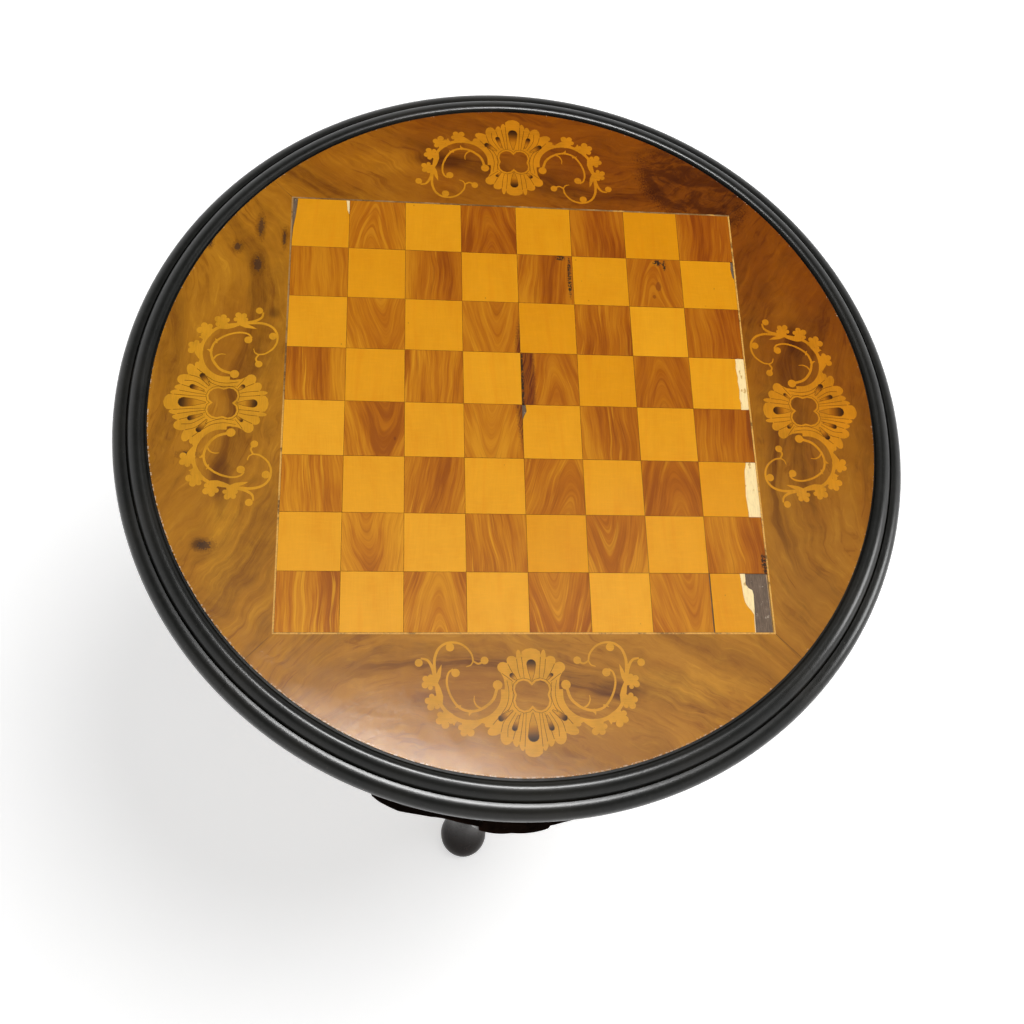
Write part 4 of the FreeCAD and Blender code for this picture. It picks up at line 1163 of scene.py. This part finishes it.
class GAMES_TABLE_OT_carcase(bpy.types.Operator):
    """Finish the core, bearers, blocks and screws under the top"""
    bl_idname = "games_table.carcase"
    bl_label = "Carcase under the top"

    def execute(self, context):
        colours = context.scene.games_table_colours
        boards = plain_wood("pine", colours.pine, (0, 0, 0))
        crosswise = plain_wood("pine_crosswise", colours.pine, (0, 0, QUARTER))
        blocks = plain_wood("oak", colours.oak, (0, 0, 0.4))
        for name, node in NODES.items():
            if name.startswith("core_board") or name == "bearer_left_right":
                paint(node, boards)
            elif name == "bearer_front_back":
                paint(node, crosswise)
            elif name.startswith("glue_block") or name == "core_tongues":
                paint(node, blocks)
        paint(NODES["top_screws"], old_steel(colours.steel))
        return {"FINISHED"}


class GAMES_TABLE_OT_stage(bpy.types.Operator):
    """Set the pale floor, the soft lamps and the camera above the front of the table"""
    bl_idname = "games_table.stage"
    bl_label = "Stage"

    def execute(self, context):
        floor(context.scene.games_table_colours.floor)
        world(wall=0.95, ceiling=0.06)
        for name, settings in LAMPS.items():
            lamp(name, **settings)
        camera()
        return {"FINISHED"}


# ---- the stage ---------------------------------------------------------------------------------------

HALF_FLOOR = 6
FLOOR_GLOW = 0.50
# Sines of the angles above the horizon where the walls begin to fade and where the dim ceiling begins.
FADE = (0.28, 0.72)
# A lamp that isn't reflected lights the wood without whitening its polish; one that isn't lit is only a reflection.
LAMPS = {
    "key": dict(place=(0.85, 0.35, 3.3), aim=(0, 0, 0.5), size=(1.4, 1.4), power=62, reflected=False),
    "panel": dict(place=(0.018, -0.226, 2.6), aim=(0.018, -0.3, 0.7), size=(1.25, 0.45), power=62, lit=False,
                  turn=-0.41),
    "side window": dict(place=(2.1, -0.22, 1.5), aim=(0.26, -0.15, 0.7), size=(0.8, 0.8), power=20, lit=False),
}
# The camera's place, and which ways its right side and its back face.
EYE = (-0.10482, -0.37683, 1.47759)
EYE_RIGHT = (0.9935, -0.0285, 0.1101)
EYE_BACK = (-0.11309, -0.35008, 0.92987)
FOCAL_LENGTH = 40.13
SENSOR_WIDTH = 36
NEAREST_SEEN = 0.05


def floor(tone):
    """A white floor. The camera sees it brighter than it is, and it keeps the table's shadow."""
    mesh = bpy.data.meshes.new("floor")
    mesh.from_pydata([(x * HALF_FLOOR, y * HALF_FLOOR, 0) for x, y in ((-1, -1), (1, -1), (1, 1), (-1, 1))], [],
                     [(0, 1, 2, 3)])
    thing = bpy.data.objects.new("floor", mesh)
    bpy.context.scene.collection.objects.link(thing)
    finish = Finish("floor")
    mottle = finish.noise(finish.position(), 3, 3)
    finish.set(Base_Color=finish.ramp(mottle, [(0.3, shade(tone, 0.98)), (0.7, tone)]), Roughness=0.9,
               Specular_IOR_Level=0.1)
    rays = finish.node("ShaderNodeLightPath").outputs
    seen = finish.math("MAXIMUM", rays["Is Camera Ray"], finish.math(
        "MAXIMUM", rays["Is Glossy Ray"], rays["Is Transmission Ray"]))
    glow = finish.node("ShaderNodeEmission", {"Color": (1, 1, 1), "Strength": seen * FLOOR_GLOW})
    both = finish.node("ShaderNodeAddShader", {0: finish.shader.outputs["BSDF"], 1: glow.outputs["Emission"]})
    finish.put(finish.output.inputs["Surface"], both.outputs["Shader"])
    paint(thing, finish)


def world(wall, ceiling):
    """Pale walls all round and a dim ceiling, so that the polish reflects little from above."""
    made = bpy.data.worlds.new("studio")
    made.use_nodes = True
    nodes, links = made.node_tree.nodes, made.node_tree.links
    direction = nodes.new("ShaderNodeTexCoord")
    upwards = nodes.new("ShaderNodeSeparateXYZ")
    level = nodes.new("ShaderNodeMapRange")
    level.interpolation_type = "SMOOTHSTEP"
    for name, number in zip(("From Min", "From Max", "To Min", "To Max"), (*FADE, wall, ceiling)):
        level.inputs[name].default_value = number
    links.new(direction.outputs["Generated"], upwards.inputs["Vector"])
    links.new(upwards.outputs["Z"], level.inputs["Value"])
    nodes["Background"].inputs["Color"].default_value = (1, 1, 1, 1)
    links.new(level.outputs["Result"], nodes["Background"].inputs["Strength"])
    bpy.context.scene.world = made


def lamp(name, place, aim, size, power, reflected=True, lit=True, turn=0.0):
    """A soft oval lamp. Its turn is about its own axis."""
    data = bpy.data.lights.new(name, "AREA")
    data.shape = "ELLIPSE"
    data.size, data.size_y = size
    data.energy = power
    thing = bpy.data.objects.new(name, data)
    thing.location = place
    towards = (Vector(aim) - Vector(place)).to_track_quat("-Z", "Y").to_matrix()
    thing.rotation_euler = (towards @ Matrix.Rotation(turn, 3, "Z")).to_euler()
    thing.visible_glossy = reflected
    thing.visible_diffuse = lit
    bpy.context.scene.collection.objects.link(thing)


def camera():
    """Held above the front of the table, looking down on the board, turned a little on its own axis."""
    data = bpy.data.cameras.new("camera")
    data.lens = FOCAL_LENGTH
    data.sensor_width = SENSOR_WIDTH
    data.clip_start = NEAREST_SEEN
    thing = bpy.data.objects.new("camera", data)
    right, back = Vector(EYE_RIGHT).normalized(), Vector(EYE_BACK).normalized()
    up = back.cross(right).normalized()
    right = up.cross(back)
    turn = Matrix((right, up, back)).transposed()
    thing.matrix_world = Matrix.Translation(EYE) @ turn.to_4x4()
    bpy.context.scene.collection.objects.link(thing)
    bpy.context.scene.camera = thing


# ---- panel and registration -----------------------------------------------------------------------------

OPERATORS = (GAMES_TABLE_OT_board, GAMES_TABLE_OT_surround, GAMES_TABLE_OT_rim, GAMES_TABLE_OT_legs,
             GAMES_TABLE_OT_apron, GAMES_TABLE_OT_carcase, GAMES_TABLE_OT_stage)


class GAMES_TABLE_PT_sidebar(bpy.types.Panel):
    """Sizes, colours and makers of the games table"""
    bl_idname = "GAMES_TABLE_PT_sidebar"
    bl_label = "Games Table"
    bl_space_type = "VIEW_3D"
    bl_region_type = "UI"
    bl_category = "Games Table"

    def draw(self, context):
        for operator in OPERATORS:
            self.layout.operator(operator.bl_idname)
        for group in (context.scene.games_table_sizes, context.scene.games_table_colours):
            column = self.layout.column()
            for name in group.__annotations__:
                column.prop(group, name)


CLASSES = (GamesTableSizes, GamesTableColours, *OPERATORS, GAMES_TABLE_PT_sidebar)


def register():
    for item in CLASSES:
        bpy.utils.register_class(item)
    bpy.types.Scene.games_table_sizes = PointerProperty(type=GamesTableSizes)
    bpy.types.Scene.games_table_colours = PointerProperty(type=GamesTableColours)


def unregister():
    del bpy.types.Scene.games_table_colours
    del bpy.types.Scene.games_table_sizes
    for item in reversed(CLASSES):
        bpy.utils.unregister_class(item)


def main():
    register()
    bpy.ops.games_table.board()
    bpy.ops.games_table.surround()
    bpy.ops.games_table.rim()
    bpy.ops.games_table.legs()
    bpy.ops.games_table.apron()
    bpy.ops.games_table.carcase()
    bpy.ops.games_table.stage()
    bpy.context.scene.view_settings.view_transform = "Standard"


if __name__ == "__main__":
    main()
